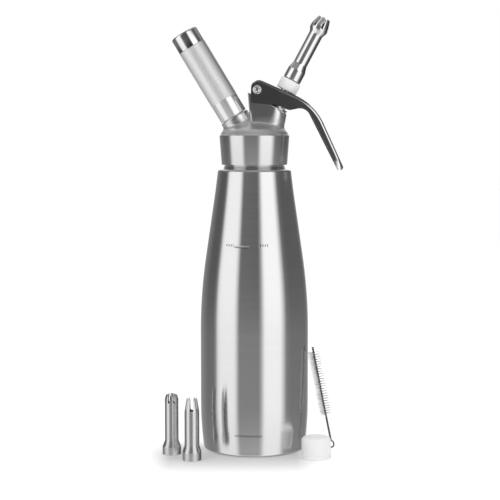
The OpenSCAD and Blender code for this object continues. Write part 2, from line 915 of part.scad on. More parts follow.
module charger_nipple() {
    pin_floor = boss_u - 4;
    color(steel)
        along_holder()
            union() {
                rotate_extrude()
                    polygon([
                        [1.6, boss_u - nipple_pocket_l + slack],
                        [nipple_pocket_r, boss_u - nipple_pocket_l + slack],
                        [nipple_pocket_r, boss_u + slack / 2],
                        [nipple_root_r, boss_u + slack / 2],
                        [nipple_root_r, boss_u + nipple_l - 0.5],
                        [nipple_root_r - 0.5, boss_u + nipple_l],
                        [nipple_bore_r, boss_u + nipple_l],
                        [nipple_bore_r, boss_u + 2],
                        [pin_base_r + slack, boss_u + 2],
                        [pin_base_r + slack, pin_floor],
                        [1.6, pin_floor]
                    ]);
                thread_ridge(nipple_root_r, nipple_ridge, holder_pitch, boss_u + 2.2, 4);
            }
}

module return_disc() {
    color(black_rubber)
        along_holder()
            translate([0, 0, boss_u - 4 + slack])
                cylinder(r = pin_base_r - 0.3, h = 1.5);
}

module piercing_pin() {
    low = boss_u - 4 + slack + 1.5 + slack;
    color(brass)
        along_holder()
            rotate_extrude()
                polygon([
                    [0, low],
                    [pin_base_r, low],
                    [pin_base_r, low + pin_base_h],
                    [pin_r + 0.5, low + pin_base_h],
                    [pin_r, low + pin_base_h + 1],
                    [pin_r, charger_u + charger_wall - 0.4],
                    [0, charger_u + charger_wall + 1.4]
                ]);
}

module charger_seal() {
    color(black_rubber)
        along_holder()
            ring_of(pin_r + 0.8, nipple_bore_r - slack, boss_u + 2 + slack, seal_top);
}

module gas_charger() {
    r = charger_r;
    w = charger_wall;
    neck_r = charger_neck_d / 2;
    color(steel)
        along_holder()
            translate([0, 0, charger_u])
                difference() {
                    rotate_extrude()
                        polygon(rounded([
                            [0, 0], [neck_r, 0, 0.8], [neck_r, 9, 2], [r, 17.5, 6],
                            [r, charger_l, 8.6], [0, charger_l]
                        ], 6));
                    rotate_extrude()
                        polygon(rounded([
                            [0, w], [neck_r - w, w], [neck_r - w, 9, 2], [r - w, 17.8, 5],
                            [r - w, charger_l - w, 7], [0, charger_l - w]
                        ], 6));
                    // hole made by the piercing pin
                    translate([0, 0, -cut])
                        cylinder(r = pin_r + 0.4, h = w + 2 * cut, $fn = 32);
                }
}

module holder_tube() {
    knurl_h = 0.1;
    color("#d4d5d6")
        along_holder()
            rotate_extrude()
                polygon([
                    [charger_bore_r, holder_low_u],
                    [holder_r - 0.5, holder_low_u],
                    [holder_r, holder_low_u + 0.5],
                    [holder_r, boss_u + holder_band_l],
                    [holder_r + knurl_h, boss_u + holder_band_l + knurl_h],
                    [holder_r + knurl_h, tube_end_u - knurl_h],
                    [holder_r, tube_end_u],
                    [rebate_r, tube_end_u],
                    [rebate_r, tube_end_u + rebate_l],
                    [charger_bore_r, tube_end_u + rebate_l]
                ]);
}

module holder_end() {
    color(polished)
        along_holder()
            rotate_extrude()
                polygon(concat(
                    [
                        [0, cap_in_u],
                        [charger_bore_r, cap_in_u],
                        [charger_bore_r, tube_end_u + rebate_l + slack],
                        [rebate_r + slack / 2, tube_end_u + rebate_l + slack],
                        [rebate_r + slack / 2, tube_end_u + slack],
                        [holder_r, tube_end_u + slack]
                    ],
                    corner_arc([holder_r, tube_end_u], [holder_r, holder_top_u], [0, holder_top_u], 1.6, 6),
                    [[0, holder_top_u]]
                ));
}

// --- cap and brush --------------------------------------------------------------------------

cap_at = [50, -42];
module protective_cap() {
    edge_r = 3;
    color(clear_plastic)
        translate([cap_at[0], cap_at[1], 0])
            difference() {
                rotate_extrude()
                    polygon(concat(
                        [[0, 0], [cap_d / 2 + 0.4, 0], [cap_d / 2 + 0.4, 1.6], [cap_d / 2, 2]],
                        corner_arc([cap_d / 2, 0], [cap_d / 2, cap_h], [0, cap_h], edge_r, 6),
                        [[0, cap_h]]
                    ));
                rotate_extrude()
                    polygon(concat(
                        [[0, -cut], [cap_d / 2 - cap_wall, -cut]],
                        corner_arc(
                            [cap_d / 2 - cap_wall, 0], [cap_d / 2 - cap_wall, cap_h - cap_wall],
                            [0, cap_h - cap_wall], edge_r - cap_wall, 6
                        ),
                        [[0, cap_h - cap_wall]]
                    ));
            }
}

// The brush stands on its loop and leans towards the bottle
brush_foot = [65, -9.5, 0];
brush_lean = 11.4;
brush_swing = 190; // direction of the lean about the upright, from +X
loop_r = 2.6; // mean radius of the loop at the brush's end
brush_wire_r = brush_wire_d / 2;
shaft_low = loop_r * 2 + brush_wire_r * 0.4;
tuft_end = brush_l - 3;
tuft_start = tuft_end - bristle_l;
module along_brush() {
    translate([brush_foot[0], brush_foot[1], brush_foot[2] + brush_wire_r + 0.6])
        rotate([0, 0, brush_swing])
            rotate([0, brush_lean, 0])
                children();
}

module brush_wire() {
    color(dark_steel)
        along_brush()
            union() {
                translate([0, 0, shaft_low])
                    cylinder(r = brush_wire_r, h = tuft_start - shaft_low);
                translate([0, 0, loop_r])
                    rotate([90, 0, 0])
                        rotate_extrude()
                            translate([loop_r, 0])
                                circle(r = brush_wire_r, $fn = 32);
            }
}

// Bristles: a slice of the wire whose surface is a grid; every second cell of each thin band
// rises into a strand. The rows turn a little from one to the next.
tuft_rows = 44;
tuft_sides = 16; // cells round the wire
strand_h = 0.3; // height of a thin band
strand_tip = 0.1; // half width of a strand's tip
module brush_bristles() {
    row_h = bristle_l / tuft_rows;
    levels = concat([0], [
        for (r = [0:tuft_rows - 1])
            each [(r + 0.5) * row_h - strand_h / 2, (r + 0.5) * row_h + strand_h / 2]
    ], [bristle_l]);
    level_count = len(levels);
    cell = 360 / tuft_sides;
    function core(i, k) = [
        brush_wire_r * cos(k * cell), brush_wire_r * sin(k * cell), tuft_start + levels[i]
    ];
    core_points = [for (i = [0:level_count - 1]) for (k = [0:tuft_sides - 1]) core(i, k)];
    strands = [
        for (r = [0:tuft_rows - 1])
            for (k = [0:tuft_sides - 1])
                if ((k + r) % 2 == 0) [r, k]
    ];
    reach = bristle_d / 2;
    function tip_corner(s, side, up) =
        let (
            a = (s[1] + 0.5) * cell,
            z = tuft_start + (s[0] + 0.5) * row_h
        )
        [
            reach * cos(a) - side * strand_tip * sin(a),
            reach * sin(a) + side * strand_tip * cos(a),
            z + up * strand_tip
        ];
    tip_points = [
        for (s = strands)
            each [tip_corner(s, -1, -1), tip_corner(s, 1, -1), tip_corner(s, 1, 1), tip_corner(s, -1, 1)]
    ];
    grid = level_count * tuft_sides;
    function at(i, k) = i * tuft_sides + k % tuft_sides;
    plain_cells = [
        for (i = [0:level_count - 2])
            for (k = [0:tuft_sides - 1])
                if (i % 2 == 0 || (k + (i - 1) / 2) % 2 == 1)
                    each [
                        [at(i, k), at(i + 1, k), at(i, k + 1)],
                        [at(i, k + 1), at(i + 1, k), at(i + 1, k + 1)]
                    ]
    ];
    strand_faces = [
        for (n = [0:len(strands) - 1])
            let (
                i = 2 * strands[n][0] + 1,
                k = strands[n][1],
                root = [at(i, k), at(i, k + 1), at(i + 1, k + 1), at(i + 1, k)],
                top = grid + 4 * n
            )
            each concat(
                [
                    for (e = [0:3])
                        each [
                            [root[e], top + e, root[(e + 1) % 4]],
                            [root[(e + 1) % 4], top + e, top + (e + 1) % 4]
                        ]
                ],
                [[top, top + 2, top + 1], [top, top + 3, top + 2]]
            )
    ];
    last = (level_count - 1) * tuft_sides;
    ends = [
        for (k = [1:tuft_sides - 2])
            each [[0, k, k + 1], [last, last + k + 1, last + k]]
    ];
    echo(str("bristles: ", len(strands), " strands"));
    color("white")
        along_brush()
            polyhedron(
                concat(core_points, tip_points),
                concat(plain_cells, strand_faces, ends),
                convexity = 10
            );
}

bottle();
neck_ring();
head_gasket();
head_body();
stem_guide();
stem_oring();
valve_stem();
valve_seal();
seal_nut();
valve_spring();
lever();
lever_screw();
lever_nut();
nozzle_ring();
nozzle_washer();
nozzle();
charger_nipple();
piercing_pin();
return_disc();
charger_seal();
gas_charger();
holder_tube();
holder_end();
spare_nozzle_domed();
spare_nozzle_conical();
protective_cap();
brush_wire();
brush_bristles();
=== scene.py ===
"""Looks of the whipped cream dispenser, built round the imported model.

Most pieces that show, and the valve's spring, get finer meshes than the model's, from the same
sizes in millimetres. The others keep the model's own shape and get a material only.
"""

import math

import bmesh
import bpy
import numpy as np
from mathutils import Matrix, Vector


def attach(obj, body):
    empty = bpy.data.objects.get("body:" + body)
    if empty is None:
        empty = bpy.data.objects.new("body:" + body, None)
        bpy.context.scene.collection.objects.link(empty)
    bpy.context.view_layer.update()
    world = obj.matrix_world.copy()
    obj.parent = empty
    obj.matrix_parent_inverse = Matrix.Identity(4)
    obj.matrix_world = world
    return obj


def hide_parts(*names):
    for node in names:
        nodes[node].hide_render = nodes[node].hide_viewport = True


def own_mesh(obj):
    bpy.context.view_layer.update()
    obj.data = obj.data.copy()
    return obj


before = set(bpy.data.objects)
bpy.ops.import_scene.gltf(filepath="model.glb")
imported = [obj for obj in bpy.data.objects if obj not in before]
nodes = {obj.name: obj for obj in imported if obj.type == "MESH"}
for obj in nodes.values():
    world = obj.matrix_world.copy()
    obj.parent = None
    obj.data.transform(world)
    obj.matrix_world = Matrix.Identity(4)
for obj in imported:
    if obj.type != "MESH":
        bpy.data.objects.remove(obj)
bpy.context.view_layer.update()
MM = 0.001
rng = np.random.default_rng(11)

# --- sizes, in millimetres, as in the construction -------------------------------------------
# A name with _R is a radius and one with _Z a height above the table. One with _U is a height
# along the tilted axis of the nozzle or the holder, from the point where the two axes meet.
# A TILT is in degrees, a LEAN or a SLOPE in radians.

BOTTLE_R, FOOT_R, SHOULDER_R, NECK_R = 45.2, 42.5, 30.8, 25.15
FOOT_EDGE, FOOT_Z, TAPER_Z, SHOULDER_Z = 2.4, 40.0, 99.0, 230.2
COLLAR_Z, COLLAR_TOP_Z, CONE_TOP_Z = 236.8, 261.1, 265.4
DOME_R, DOME_H = 26.0, 7.2
AXES_Z, NOZZLE_TILT, HOLDER_TILT = 248.4, 27.9, 31.2
NOZZLE_LEAN, HOLDER_LEAN = math.radians(NOZZLE_TILT), math.radians(HOLDER_TILT)
PIVOT = (2.2, 298.3)
TOWER_TOP_U, TOWER_HALF = 39.6, 12.5
BOSS_U = 32.7


def about(x, y, z, tilt=0.0, swing=0.0):
    """Frame of a tilted piece: its own Z leans by tilt towards swing, both in degrees."""
    lean = Matrix.Rotation(math.radians(tilt), 4, "Y")
    return Matrix.Translation((x, y, z)) @ Matrix.Rotation(math.radians(swing), 4, "Z") @ lean


UPRIGHT = Matrix.Identity(4)
NOZZLE = about(0, 0, AXES_Z, NOZZLE_TILT)
HOLDER = about(0, 0, AXES_Z, -HOLDER_TILT)
BRUSH = about(65, -9.5, 1.45, 11.4, 190)
COVER = about(50, -42, 0)
DOMED_SPARE = about(-68, -27.5, 0)
CONICAL_SPARE = about(-50.5, -49.5, 0)


# --- mesh tools ------------------------------------------------------------------------------


def add(name, data):
    """New object in the scene."""
    piece = bpy.data.objects.new(name, data)
    bpy.context.scene.collection.objects.link(piece)
    return piece


def drop(piece):
    """Removes an object and its mesh."""
    mesh = piece.data
    bpy.data.objects.remove(piece)
    bpy.data.meshes.remove(mesh)


def smooth(piece, crease=35.0):
    """Smooth shading, with the edges sharper than the crease angle left sharp."""
    piece.data.polygons.foreach_set("use_smooth", [True] * len(piece.data.polygons))
    piece.data.set_sharp_from_angle(angle=math.radians(crease))
    piece.data.update()


def mesh_of(name, points, faces, place=UPRIGHT):
    """Mesh from points in millimetres in the frame `place`."""
    mesh = bpy.data.meshes.new(name)
    mesh.from_pydata([(place @ Vector(p)) * MM for p in points], [], faces)
    return mesh


def make(name, points, faces, place=UPRIGHT, crease=35.0):
    """Piece from such a mesh, with its doubled points merged and its faces turned outwards."""
    mesh = mesh_of(name, points, faces, place)
    work = bmesh.new()
    work.from_mesh(mesh)
    bmesh.ops.remove_doubles(work, verts=work.verts, dist=1e-7)
    bmesh.ops.recalc_face_normals(work, faces=work.faces)
    work.to_mesh(mesh)
    work.free()
    piece = add(name, mesh)
    smooth(piece, crease)
    return piece


def angles(steps):
    """Angles of a whole turn in equal steps."""
    return [2 * math.pi * k / steps for k in range(steps)]


def oblong(a, b):
    """Corners of a rectangle with half sizes a and b."""
    return [(-a, -b), (a, -b), (a, b), (-a, b)]


def rounded(corners, steps=6):
    """Closed outline from corners (a, b) or (a, b, radius)."""
    out = []
    count = len(corners)
    for i, corner in enumerate(corners):
        p = np.array(corner[:2], float)
        r = corner[2] if len(corner) > 2 else 0
        if r <= 0:
            out.append(tuple(p))
            continue
        u = np.array(corners[i - 1][:2], float) - p
        v = np.array(corners[(i + 1) % count][:2], float) - p
        u /= np.linalg.norm(u)
        v /= np.linalg.norm(v)
        half = math.acos(max(-1.0, min(1.0, float(u @ v)))) / 2
        centre = p + (u + v) / np.linalg.norm(u + v) * r / math.sin(half)
        start = p + u * r / math.tan(half) - centre
        end = p + v * r / math.tan(half) - centre
        a0 = math.atan2(start[1], start[0])
        turn = (math.atan2(end[1], end[0]) - a0 + math.pi) % (2 * math.pi) - math.pi
        for k in range(steps + 1):
            a = a0 + turn * k / steps
            out.append((centre[0] + r * math.cos(a), centre[1] + r * math.sin(a)))
    return out


def strip(low, high):
    """Faces between two open rows of points."""
    return [(low[k], low[k + 1], high[k + 1], high[k]) for k in range(len(low) - 1)]


def band(low, high):
    """Faces between two rings of points, one of which may be a single point on the axis."""
    count = max(len(low), len(high))
    faces = []
    for k in range(count):
        n = (k + 1) % count
        if len(low) == 1:
            faces.append((low[0], high[n], high[k]))
        elif len(high) == 1:
            faces.append((low[k], low[n], high[0]))
        else:
            faces.append((low[k], low[n], high[n], high[k]))
    return faces


def lathe(name, outline, place=UPRIGHT, steps=128, crease=35.0, dent=lambda r, a: 0.0):
    """Solid of revolution from a closed outline of (radius, height), less a dent at each angle."""
    points, faces, rings = [], [], []
    for r, z in outline:
        ring = [(0, 0, z)]
        if r > 1e-6:
            reach = [(r - dent(r, a), a) for a in angles(steps)]
            ring = [(d * math.cos(a), d * math.sin(a), z) for d, a in reach]
        rings.append(range(len(points), len(points) + len(ring)))
        points += ring
    for low, high in zip(rings, rings[1:] + rings[:1]):
        if len(low) + len(high) > 2:
            faces += band(low, high)
    return make(name, points, faces, place, crease)


def loft(name, low, high, place=UPRIGHT):
    """Straight solid between two outlines with as many points."""
    under, over = range(len(low)), range(len(low), 2 * len(low))
    return make(name, low + high, band(under, over) + [tuple(under), tuple(over)], place)


def prism(name, outline, low, high, place=UPRIGHT, plane="XY"):
    """Straight solid over an outline in the XY or XZ plane."""

    def at(h):
        return [(a, b, h) if plane == "XY" else (a, h, b) for a, b in outline]

    return loft(name, at(low), at(high), place)


def tube(name, line, radius, sides=12, place=UPRIGHT):
    """Round wire along a line of points, with frames carried along it."""
    along = np.gradient(line, axis=0)
    along /= np.linalg.norm(along, axis=1)[:, None]
    side = np.cross(along[0], (0.3, 0.5, 0.81))
    points, faces, rings = [], [], []
    for p, t in zip(line, along):
        side = side - t * (side @ t)
        side /= np.linalg.norm(side)
        other = np.cross(t, side)
        rings.append(range(len(points), len(points) + sides))
        for a in angles(sides):
            points.append(tuple(p + radius * (side * math.cos(a) + other * math.sin(a))))
    for low, high in zip(rings, rings[1:]):
        faces += band(low, high)
    faces += [tuple(rings[0])[::-1], tuple(rings[-1])]
    return make(name, points, faces, place, crease=60)


def apply_modifier(piece, kind, **settings):
    """Gives a piece the mesh that a modifier makes of it."""
    modifier = piece.modifiers.new(kind, kind)
    for key, value in settings.items():
        setattr(modifier, key, value)
    graph = bpy.context.evaluated_depsgraph_get()
    mesh = bpy.data.meshes.new_from_object(piece.evaluated_get(graph), depsgraph=graph)
    old = piece.data
    piece.modifiers.clear()
    piece.data = mesh
    bpy.data.meshes.remove(old)


def cut(piece, tools, operation="DIFFERENCE"):
    """Boolean of a piece with tools, which it uses up."""
    for tool in tools:
        apply_modifier(piece, "BOOLEAN", operation=operation, solver="EXACT", object=tool)
        drop(tool)
    return piece


def join(name, pieces):
    """One object from several, which it uses up."""
    work = bmesh.new()
    for piece in pieces:
        work.from_mesh(piece.data)
        drop(piece)
    mesh = bpy.data.meshes.new(name)
    work.to_mesh(mesh)
    work.free()
    return add(name, mesh)


def soften(piece, voxel, rounds, fillet, more):
    """Union of a piece's shells with its edges rounded, by remeshing and smoothing.

    The points for which fillet holds are smoothed for more rounds.
    """
    apply_modifier(piece, "REMESH", mode="VOXEL", voxel_size=voxel * MM)
    apply_modifier(piece, "SMOOTH", factor=0.5, iterations=rounds)
    group = piece.vertex_groups.new(name="fillet")
    group.add([v.index for v in piece.data.vertices if fillet(v.co / MM)], 1.0, "REPLACE")
    apply_modifier(piece, "SMOOTH", factor=0.5, iterations=more, vertex_group="fillet")
    piece.vertex_groups.clear()
    smooth(piece, 180.0)
    return piece


# --- material tools --------------------------------------------------------------------------


def grey(level):
    """Colour of equal parts."""
    return (level, level, level)


class Nodes:
    """A node tree, with short ways to add to it."""

    def __init__(self, tree):
        self.tree = tree

    def node(self, kind, **settings):
        made = self.tree.nodes.new(kind)
        for key, value in settings.items():
            setattr(made, key, value)
        return made

    def feed(self, target, value):
        """Sets an input to a number or a colour, or links an output to it."""
        if isinstance(value, bpy.types.NodeSocket):
            self.tree.links.new(value, target)
        elif isinstance(value, tuple):
            target.default_value = (*value, 1)
        else:
            target.default_value = value

    def math(self, operation, *values):
        made = self.node("ShaderNodeMath", operation=operation)
        for target, value in zip(made.inputs, values):
            self.feed(target, value)
        return made.outputs[0]

    def times(self, a, b):
        return self.math("MULTIPLY", a, b)

    def plus(self, a, b):
        return self.math("ADD", a, b)

    def most(self, a, b):
        return self.math("MAXIMUM", a, b)

    def absolute(self, a):
        return self.math("ABSOLUTE", a)

    def split(self, vector):
        made = self.node("ShaderNodeSeparateXYZ")
        self.feed(made.inputs[0], vector)
        return made.outputs

    def span(self, value, low, high, to_low, to_high):
        """Goes evenly from to_low to to_high while a value goes from low to high."""
        made = self.node("ShaderNodeMapRange")
        self.feed(made.inputs["Value"], value)
        limits = {"From Min": low, "From Max": high, "To Min": to_low, "To Max": to_high}
        for key, number in limits.items():
            made.inputs[key].default_value = number
        return made.outputs["Result"]

    def mix(self, factor, a, b):
        """Colour that goes from a to b while a factor goes from 0 to 1."""
        made = self.node("ShaderNodeMix", data_type="RGBA")
        for key, value in (("Factor", factor), ("A", a), ("B", b)):
            self.feed(made.inputs[key], value)
        return made.outputs["Result"]

    def ramp(self, value, stops, low, high):
        """Level that follows a list of (place, level), on a scale between two limits."""
        made = self.node("ShaderNodeValToRGB")
        elements = made.color_ramp.elements
        while len(elements) > 1:
            elements.remove(elements[-1])
        for i, (place, level) in enumerate(stops):
            share = (place - low) / (high - low)
            element = elements.new(share) if i else elements[0]
            element.position = share
            element.color = (*grey(level), 1)
        self.feed(made.inputs["Fac"], self.span(value, low, high, 0, 1))
        return made.outputs["Color"]


class Look(Nodes):
    """A node material, with coordinates in millimetres in a piece's own frame."""

    def __init__(self, name, base, metallic, roughness, place=UPRIGHT, **sockets):
        self.material = bpy.data.materials.new(name)
        self.material.use_nodes = True
        self.material.diffuse_color = (*base, 1)
        super().__init__(self.material.node_tree)
        self.base = base
        self.shader = self.tree.nodes["Principled BSDF"]
        self.shader.inputs["Base Color"].default_value = (*base, 1)
        self.shader.inputs["Metallic"].default_value = metallic
        self.shader.inputs["Roughness"].default_value = roughness
        for key, value in sockets.items():
            self.shader.inputs[key.replace("_", " ")].default_value = value
        mapping = self.node("ShaderNodeMapping", vector_type="TEXTURE")
        mapping.inputs["Scale"].default_value = (MM, MM, MM)
        mapping.inputs["Location"].default_value = place.translation * MM
        mapping.inputs["Rotation"].default_value = place.to_euler()
        coordinates = self.node("ShaderNodeTexCoord").outputs
        self.feed(mapping.inputs["Vector"], coordinates["Object"])
        self.where = mapping.outputs["Vector"]
        self.normal = coordinates["Normal"]

    def position(self):
        """The point's own X, Y and Z."""
        return self.split(self.where)

    def facing(self):
        """X, Y and Z of the surface's own normal, in the object's frame."""
        return self.split(self.normal)

    def noise(self, scale, stretch=(1, 1, 1), detail=3.0, roughness=0.6):
        stretched = self.node("ShaderNodeVectorMath", operation="MULTIPLY")
        self.feed(stretched.inputs[0], self.where)
        stretched.inputs[1].default_value = stretch
        made = self.node("ShaderNodeTexNoise")
        made.inputs["Scale"].default_value = scale
        made.inputs["Detail"].default_value = detail
        made.inputs["Roughness"].default_value = roughness
        self.feed(made.inputs["Vector"], stretched.outputs[0])
        return made.outputs["Fac"]

    def tint(self, value, start, end=None):
        """Base colour from a start to an end, or to the look's own, by a value from 0 to 1."""
        self.feed(self.shader.inputs["Base Color"], self.mix(value, start, end or self.base))

    def rough(self, value):
        self.feed(self.shader.inputs["Roughness"], value)

    def bump(self, value, depth, strength=1.0):
        """Relief of the given depth in millimetres."""
        made = self.node("ShaderNodeBump")
        made.inputs["Strength"].default_value = strength
        made.inputs["Distance"].default_value = depth * MM
        self.feed(made.inputs["Height"], value)
        self.feed(self.shader.inputs["Normal"], made.outputs["Normal"])

    def rightward(self, lean):
        """How far the face of an upright or leaning tube turns to the right, from -1 to 1."""
        x, y, z = self.facing()
        return self.math("MULTIPLY_ADD", x, math.cos(lean), self.times(z, -math.sin(lean)))

    def turned(self, lean):
        """How far it turns to either side, a little more to the right."""
        return self.absolute(self.plus(self.rightward(lean), 0.09))

    def paint_side_shade(self, lean, starts, level):
        """Paints shade on the sides of a tube, from a given turn on."""
        sides = self.span(self.turned(lean), starts, starts + 0.12, 0, 1)
        self.tint(sides, self.base, grey(level))


def brushed(name, level, roughness, place=UPRIGHT, line=0.35, depth=0.004, spread=0.05, smear=0.0):
    """Steel with fine turning lines round the piece's own axis, which may smear its reflections."""
    look = Look(name, grey(level), 1.0, roughness, place, Anisotropic=smear)
    fine = look.noise(1.0 / line, (0.03, 0.03, 1), 2.0, 0.7)
    broad = look.noise(0.12 / line, (0.02, 0.02, 1), 3.0, 0.6)
    both = look.plus(look.times(fine, 0.6), look.times(broad, 0.4))
    look.rough(look.span(both, 0.3, 0.7, roughness - spread, roughness + spread))
    look.tint(look.span(both, 0.35, 0.6, 0, 1), grey(level * 0.965))
    look.bump(fine, depth)
    if smear:
        tangent = look.node("ShaderNodeTangent", direction_type="RADIAL", axis="Z")
        look.feed(look.shader.inputs["Tangent"], tangent.outputs[0])
        look.shader.inputs["Anisotropic Rotation"].default_value = 0.25
    return look


def turned_steel(name, level, roughness):
    """Steel of the bottle and its collar, which smears its reflections upright."""
    return brushed(name, level, roughness, line=0.3, depth=0.0012, spread=0.03, smear=0.9)


def polished(name, level, roughness, place=UPRIGHT, depth=0.01):
    """Bright steel with a slight waviness and hairline scratches."""
    look = Look(name, grey(level), 1.0, roughness, place)
    wave = look.noise(0.16, (1, 1, 0.5), 2.0)
    hair = look.noise(2.5, (0.05, 0.05, 1.4), 2.0, 0.8)
    look.rough(look.span(hair, 0.3, 0.75, roughness * 0.7, roughness * 1.6))
    look.tint(look.span(wave, 0.3, 0.7, 0, 1), grey(level * 0.9))
    look.bump(look.plus(wave, look.times(hair, 0.06)), depth)
    return look


def moulded(name, base, roughness, place=UPRIGHT, depth=0.02, **sockets):
    """Moulded plastic or rubber: faint mottling and a fine skin."""
    look = Look(name, base, 0.0, roughness, place, **sockets)
    cloud = look.noise(0.12, detail=4.0)
    grain = look.noise(2.2, detail=2.0)
    look.tint(look.span(cloud, 0.3, 0.7, 0, 1), tuple(c * 0.94 for c in base))
    look.rough(look.span(grain, 0.3, 0.7, roughness * 0.85, min(1.0, roughness * 1.2)))
    look.bump(grain, depth)
    return look


def dress(piece, look, body, *stands_for, slot=None):
    """A piece's material, body and the nodes that it stands for."""
    piece.data.materials.clear()
    piece.data.materials.append(look.material)
    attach(piece, body)
    if stands_for:
        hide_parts(*stands_for)
    return piece


# --- bottle ----------------------------------------------------------------------------------

WALL, WALL_DROP, DISH_R, DISH_H = 1.0, 0.15, 30.0, 0.7
TAPER_L, BEND_SHARE = SHOULDER_Z - TAPER_Z, 0.47
BEND = TAPER_L * BEND_SHARE
FLARE_H, FLARE_FALL = 22.0, 0.8
FALL_L = TAPER_L * (1 - BEND_SHARE / 2) - FLARE_H * (1 - FLARE_FALL) / 2
TAPER_RATE = (BOTTLE_R - SHOULDER_R) / FALL_L


def taper_drop(h):
    """How far the side has come in at a height above the foot of the taper.

    It bends in at first, then runs straight, and falls less in the flare under the shoulder.
    """
    past = max(0.0, h - (TAPER_L - FLARE_H))
    fall = h * h / (2 * BEND) if h < BEND else h - BEND / 2
    return fall * TAPER_RATE - past * past / (2 * FLARE_H) * (1 - FLARE_FALL) * TAPER_RATE


def foot_swell(z):
    """Radius of the swelling foot."""
    return BOTTLE_R - (BOTTLE_R - FOOT_R) * (1 - z / FOOT_Z) ** 2


def bottle_side(inset):
    """Side from the foot's edge to the shoulder, or its inner face at a wall's inset.

    The inner face also lies a little lower, since the side leans in.
    """
    foot_steps, straight_steps, taper_steps = 14, 4, 60
    low = [
        FOOT_EDGE + (FOOT_Z - FOOT_EDGE) * i / foot_steps for i in range(1, foot_steps + 1)
    ]
    side = [(foot_swell(z) - inset, z) for z in low]
    for i in range(1, straight_steps):
        side.append((BOTTLE_R - inset, FOOT_Z + (TAPER_Z - FOOT_Z) * i / straight_steps))
    for i in range(taper_steps + 1):
        h = TAPER_L * i / taper_steps
        side.append((BOTTLE_R - taper_drop(h) - inset, TAPER_Z + h - inset * WALL_DROP))
    return side


def foot_corner(inset):
    """Rounded lower edge, or its inner face."""
    r = FOOT_EDGE - inset
    x = foot_swell(FOOT_EDGE) - inset
    return [
        (x - r + r * math.sin(math.radians(a)), FOOT_EDGE - r * math.cos(math.radians(a)))
        for a in range(0, 91, 9)
    ]


def bottle_shell():
    """Thin bottle, open at the neck, with a dished base and a rolled shoulder."""
    top, lip = SHOULDER_Z, SHOULDER_R - 2
    outside = [(0, DISH_H), (DISH_R, DISH_H), (DISH_R + 1.2, 0.1)]
    outside += foot_corner(0) + bottle_side(0)[:-1]
    outside += [
        (SHOULDER_R, top), (SHOULDER_R - 0.05, top + 1.1), (SHOULDER_R - 0.35, top + 1.9),
        (SHOULDER_R - 0.9, top + 2.5), (lip, top + 3.0), (NECK_R + 1.9, top + 4.1),
        (NECK_R + 0.9, top + 4.7), (NECK_R + 0.3, top + 5.2), (NECK_R, top + 6),
    ]
    inside = [(0, DISH_H + WALL), (DISH_R, DISH_H + WALL)]
    inside += foot_corner(WALL)[1:] + bottle_side(WALL)
    inside += [
        (lip - WALL, top + 1.8), (NECK_R + 0.2, top + 3.2), (NECK_R - WALL, top + 4.6),
        (NECK_R - WALL, top + 6),
    ]
    return lathe("bottle_shell", outside + inside[::-1], steps=256, crease=50)


# Marks on the front, and a strip of painted shade under the filling line, each by its left, right,
# low and high limits, and the hatching's pitch.
HATCHED = [(-22.8, -16.8, 171.6, 173.4), (3.6, 11.4, 171.6, 173.6), (-16.5, 6.5, 17.0, 18.8)]
FILLING_LINE = (-19.6, -4.4, 171.1, 172.3)
LINE_SHADE = (-16.0, -4.4, 170.4, 171.1)
HATCH_PER_MM, HATCH_GAP = 0.55, 0.45


def marked_steel():
    """Bottle's steel: filling line between hatched patches, one at the foot; a strip of painted
    shade under the line, and a painted contact shadow along the lower edge.
    """
    look = turned_steel("brushed_steel", 0.80, 0.17)
    x, y, z = look.position()
    front = look.math("LESS_THAN", y, 0.0)

    def within(value, low, high):
        middle = look.absolute(look.math("SUBTRACT", value, (low + high) / 2))
        return look.math("LESS_THAN", middle, (high - low) / 2)

    def patch(left, right, low, high):
        return look.times(look.times(within(x, left, right), within(z, low, high)), front)

    def over(mask, socket, level):
        target = look.shader.inputs[socket]
        look.feed(target, look.mix(mask, target.links[0].from_socket, grey(level)))

    strokes = look.math("FRACT", look.times(x, HATCH_PER_MM))
    strokes = look.math("GREATER_THAN", strokes, HATCH_GAP)
    patches = patch(*HATCHED[0])
    for limits in HATCHED[1:]:
        patches = look.plus(patches, patch(*limits))
    # painted contact shadow: darker towards the lower edge, where the bottle meets the table
    over(look.span(z, 0.5, 1.7, 0.8, 0), "Base Color", 0.12)
    over(look.times(look.times(patches, strokes), 0.7), "Base Color", 0.12)
    line = patch(*FILLING_LINE)
    over(line, "Base Color", 0.95)
    over(line, "Roughness", 0.5)
    # painted shade under the filling line
    over(patch(*LINE_SHADE), "Base Color", 0.2)
    return look


dress(bottle_shell(), marked_steel(), "bottle_body", "bottle", slot="bottle_steel")

# --- head ------------------------------------------------------------------------------------

COLLAR_IN_R, COLLAR_R, COLLAR_TOP_R = 25.1, 27.4, 29.2
HEAD_BORE_R, HEAD_CEILING_Z = 20.4, 252.0
collar_top = COLLAR_TOP_Z + 0.7
collar = lathe(
    "head_collar",
    rounded([
        (COLLAR_IN_R, COLLAR_Z, 0.4), (COLLAR_R, COLLAR_Z, 0.5),
        (COLLAR_TOP_R, COLLAR_TOP_Z - 0.2, 0.6), (COLLAR_TOP_R - 1, collar_top),
        (HEAD_BORE_R, collar_top), (HEAD_BORE_R, HEAD_CEILING_Z), (COLLAR_IN_R, HEAD_CEILING_Z),
    ], 5),
    steps=256,
)
dress(collar, turned_steel("turned_steel", 0.77, 0.2), "head", slot="machined_steel")

TOWER_X, TOWER_R, TOWER_VALVE_Z, TOWER_LOW_Z = 11.6, 15.4, 278.6, 257.0
TOWER_LEFT, TOWER_LEAN, TOWER_LEFT_LEAN = 4.2, math.radians(12.4), math.radians(4.6)
SPHERE_R = (DOME_R * DOME_R + DOME_H * DOME_H) / (2 * DOME_H)
SPHERE_Z = CONE_TOP_Z + DOME_H - SPHERE_R
DOME_LOW_Z, DOME_LOW_R, BOSS_R, BOSS_LOW_U = 257.6, 28.0, 12.3, 12
LUG_R, LUG_LOW_Z, FILLETS_TOP_Z = 5, 284.3, 283


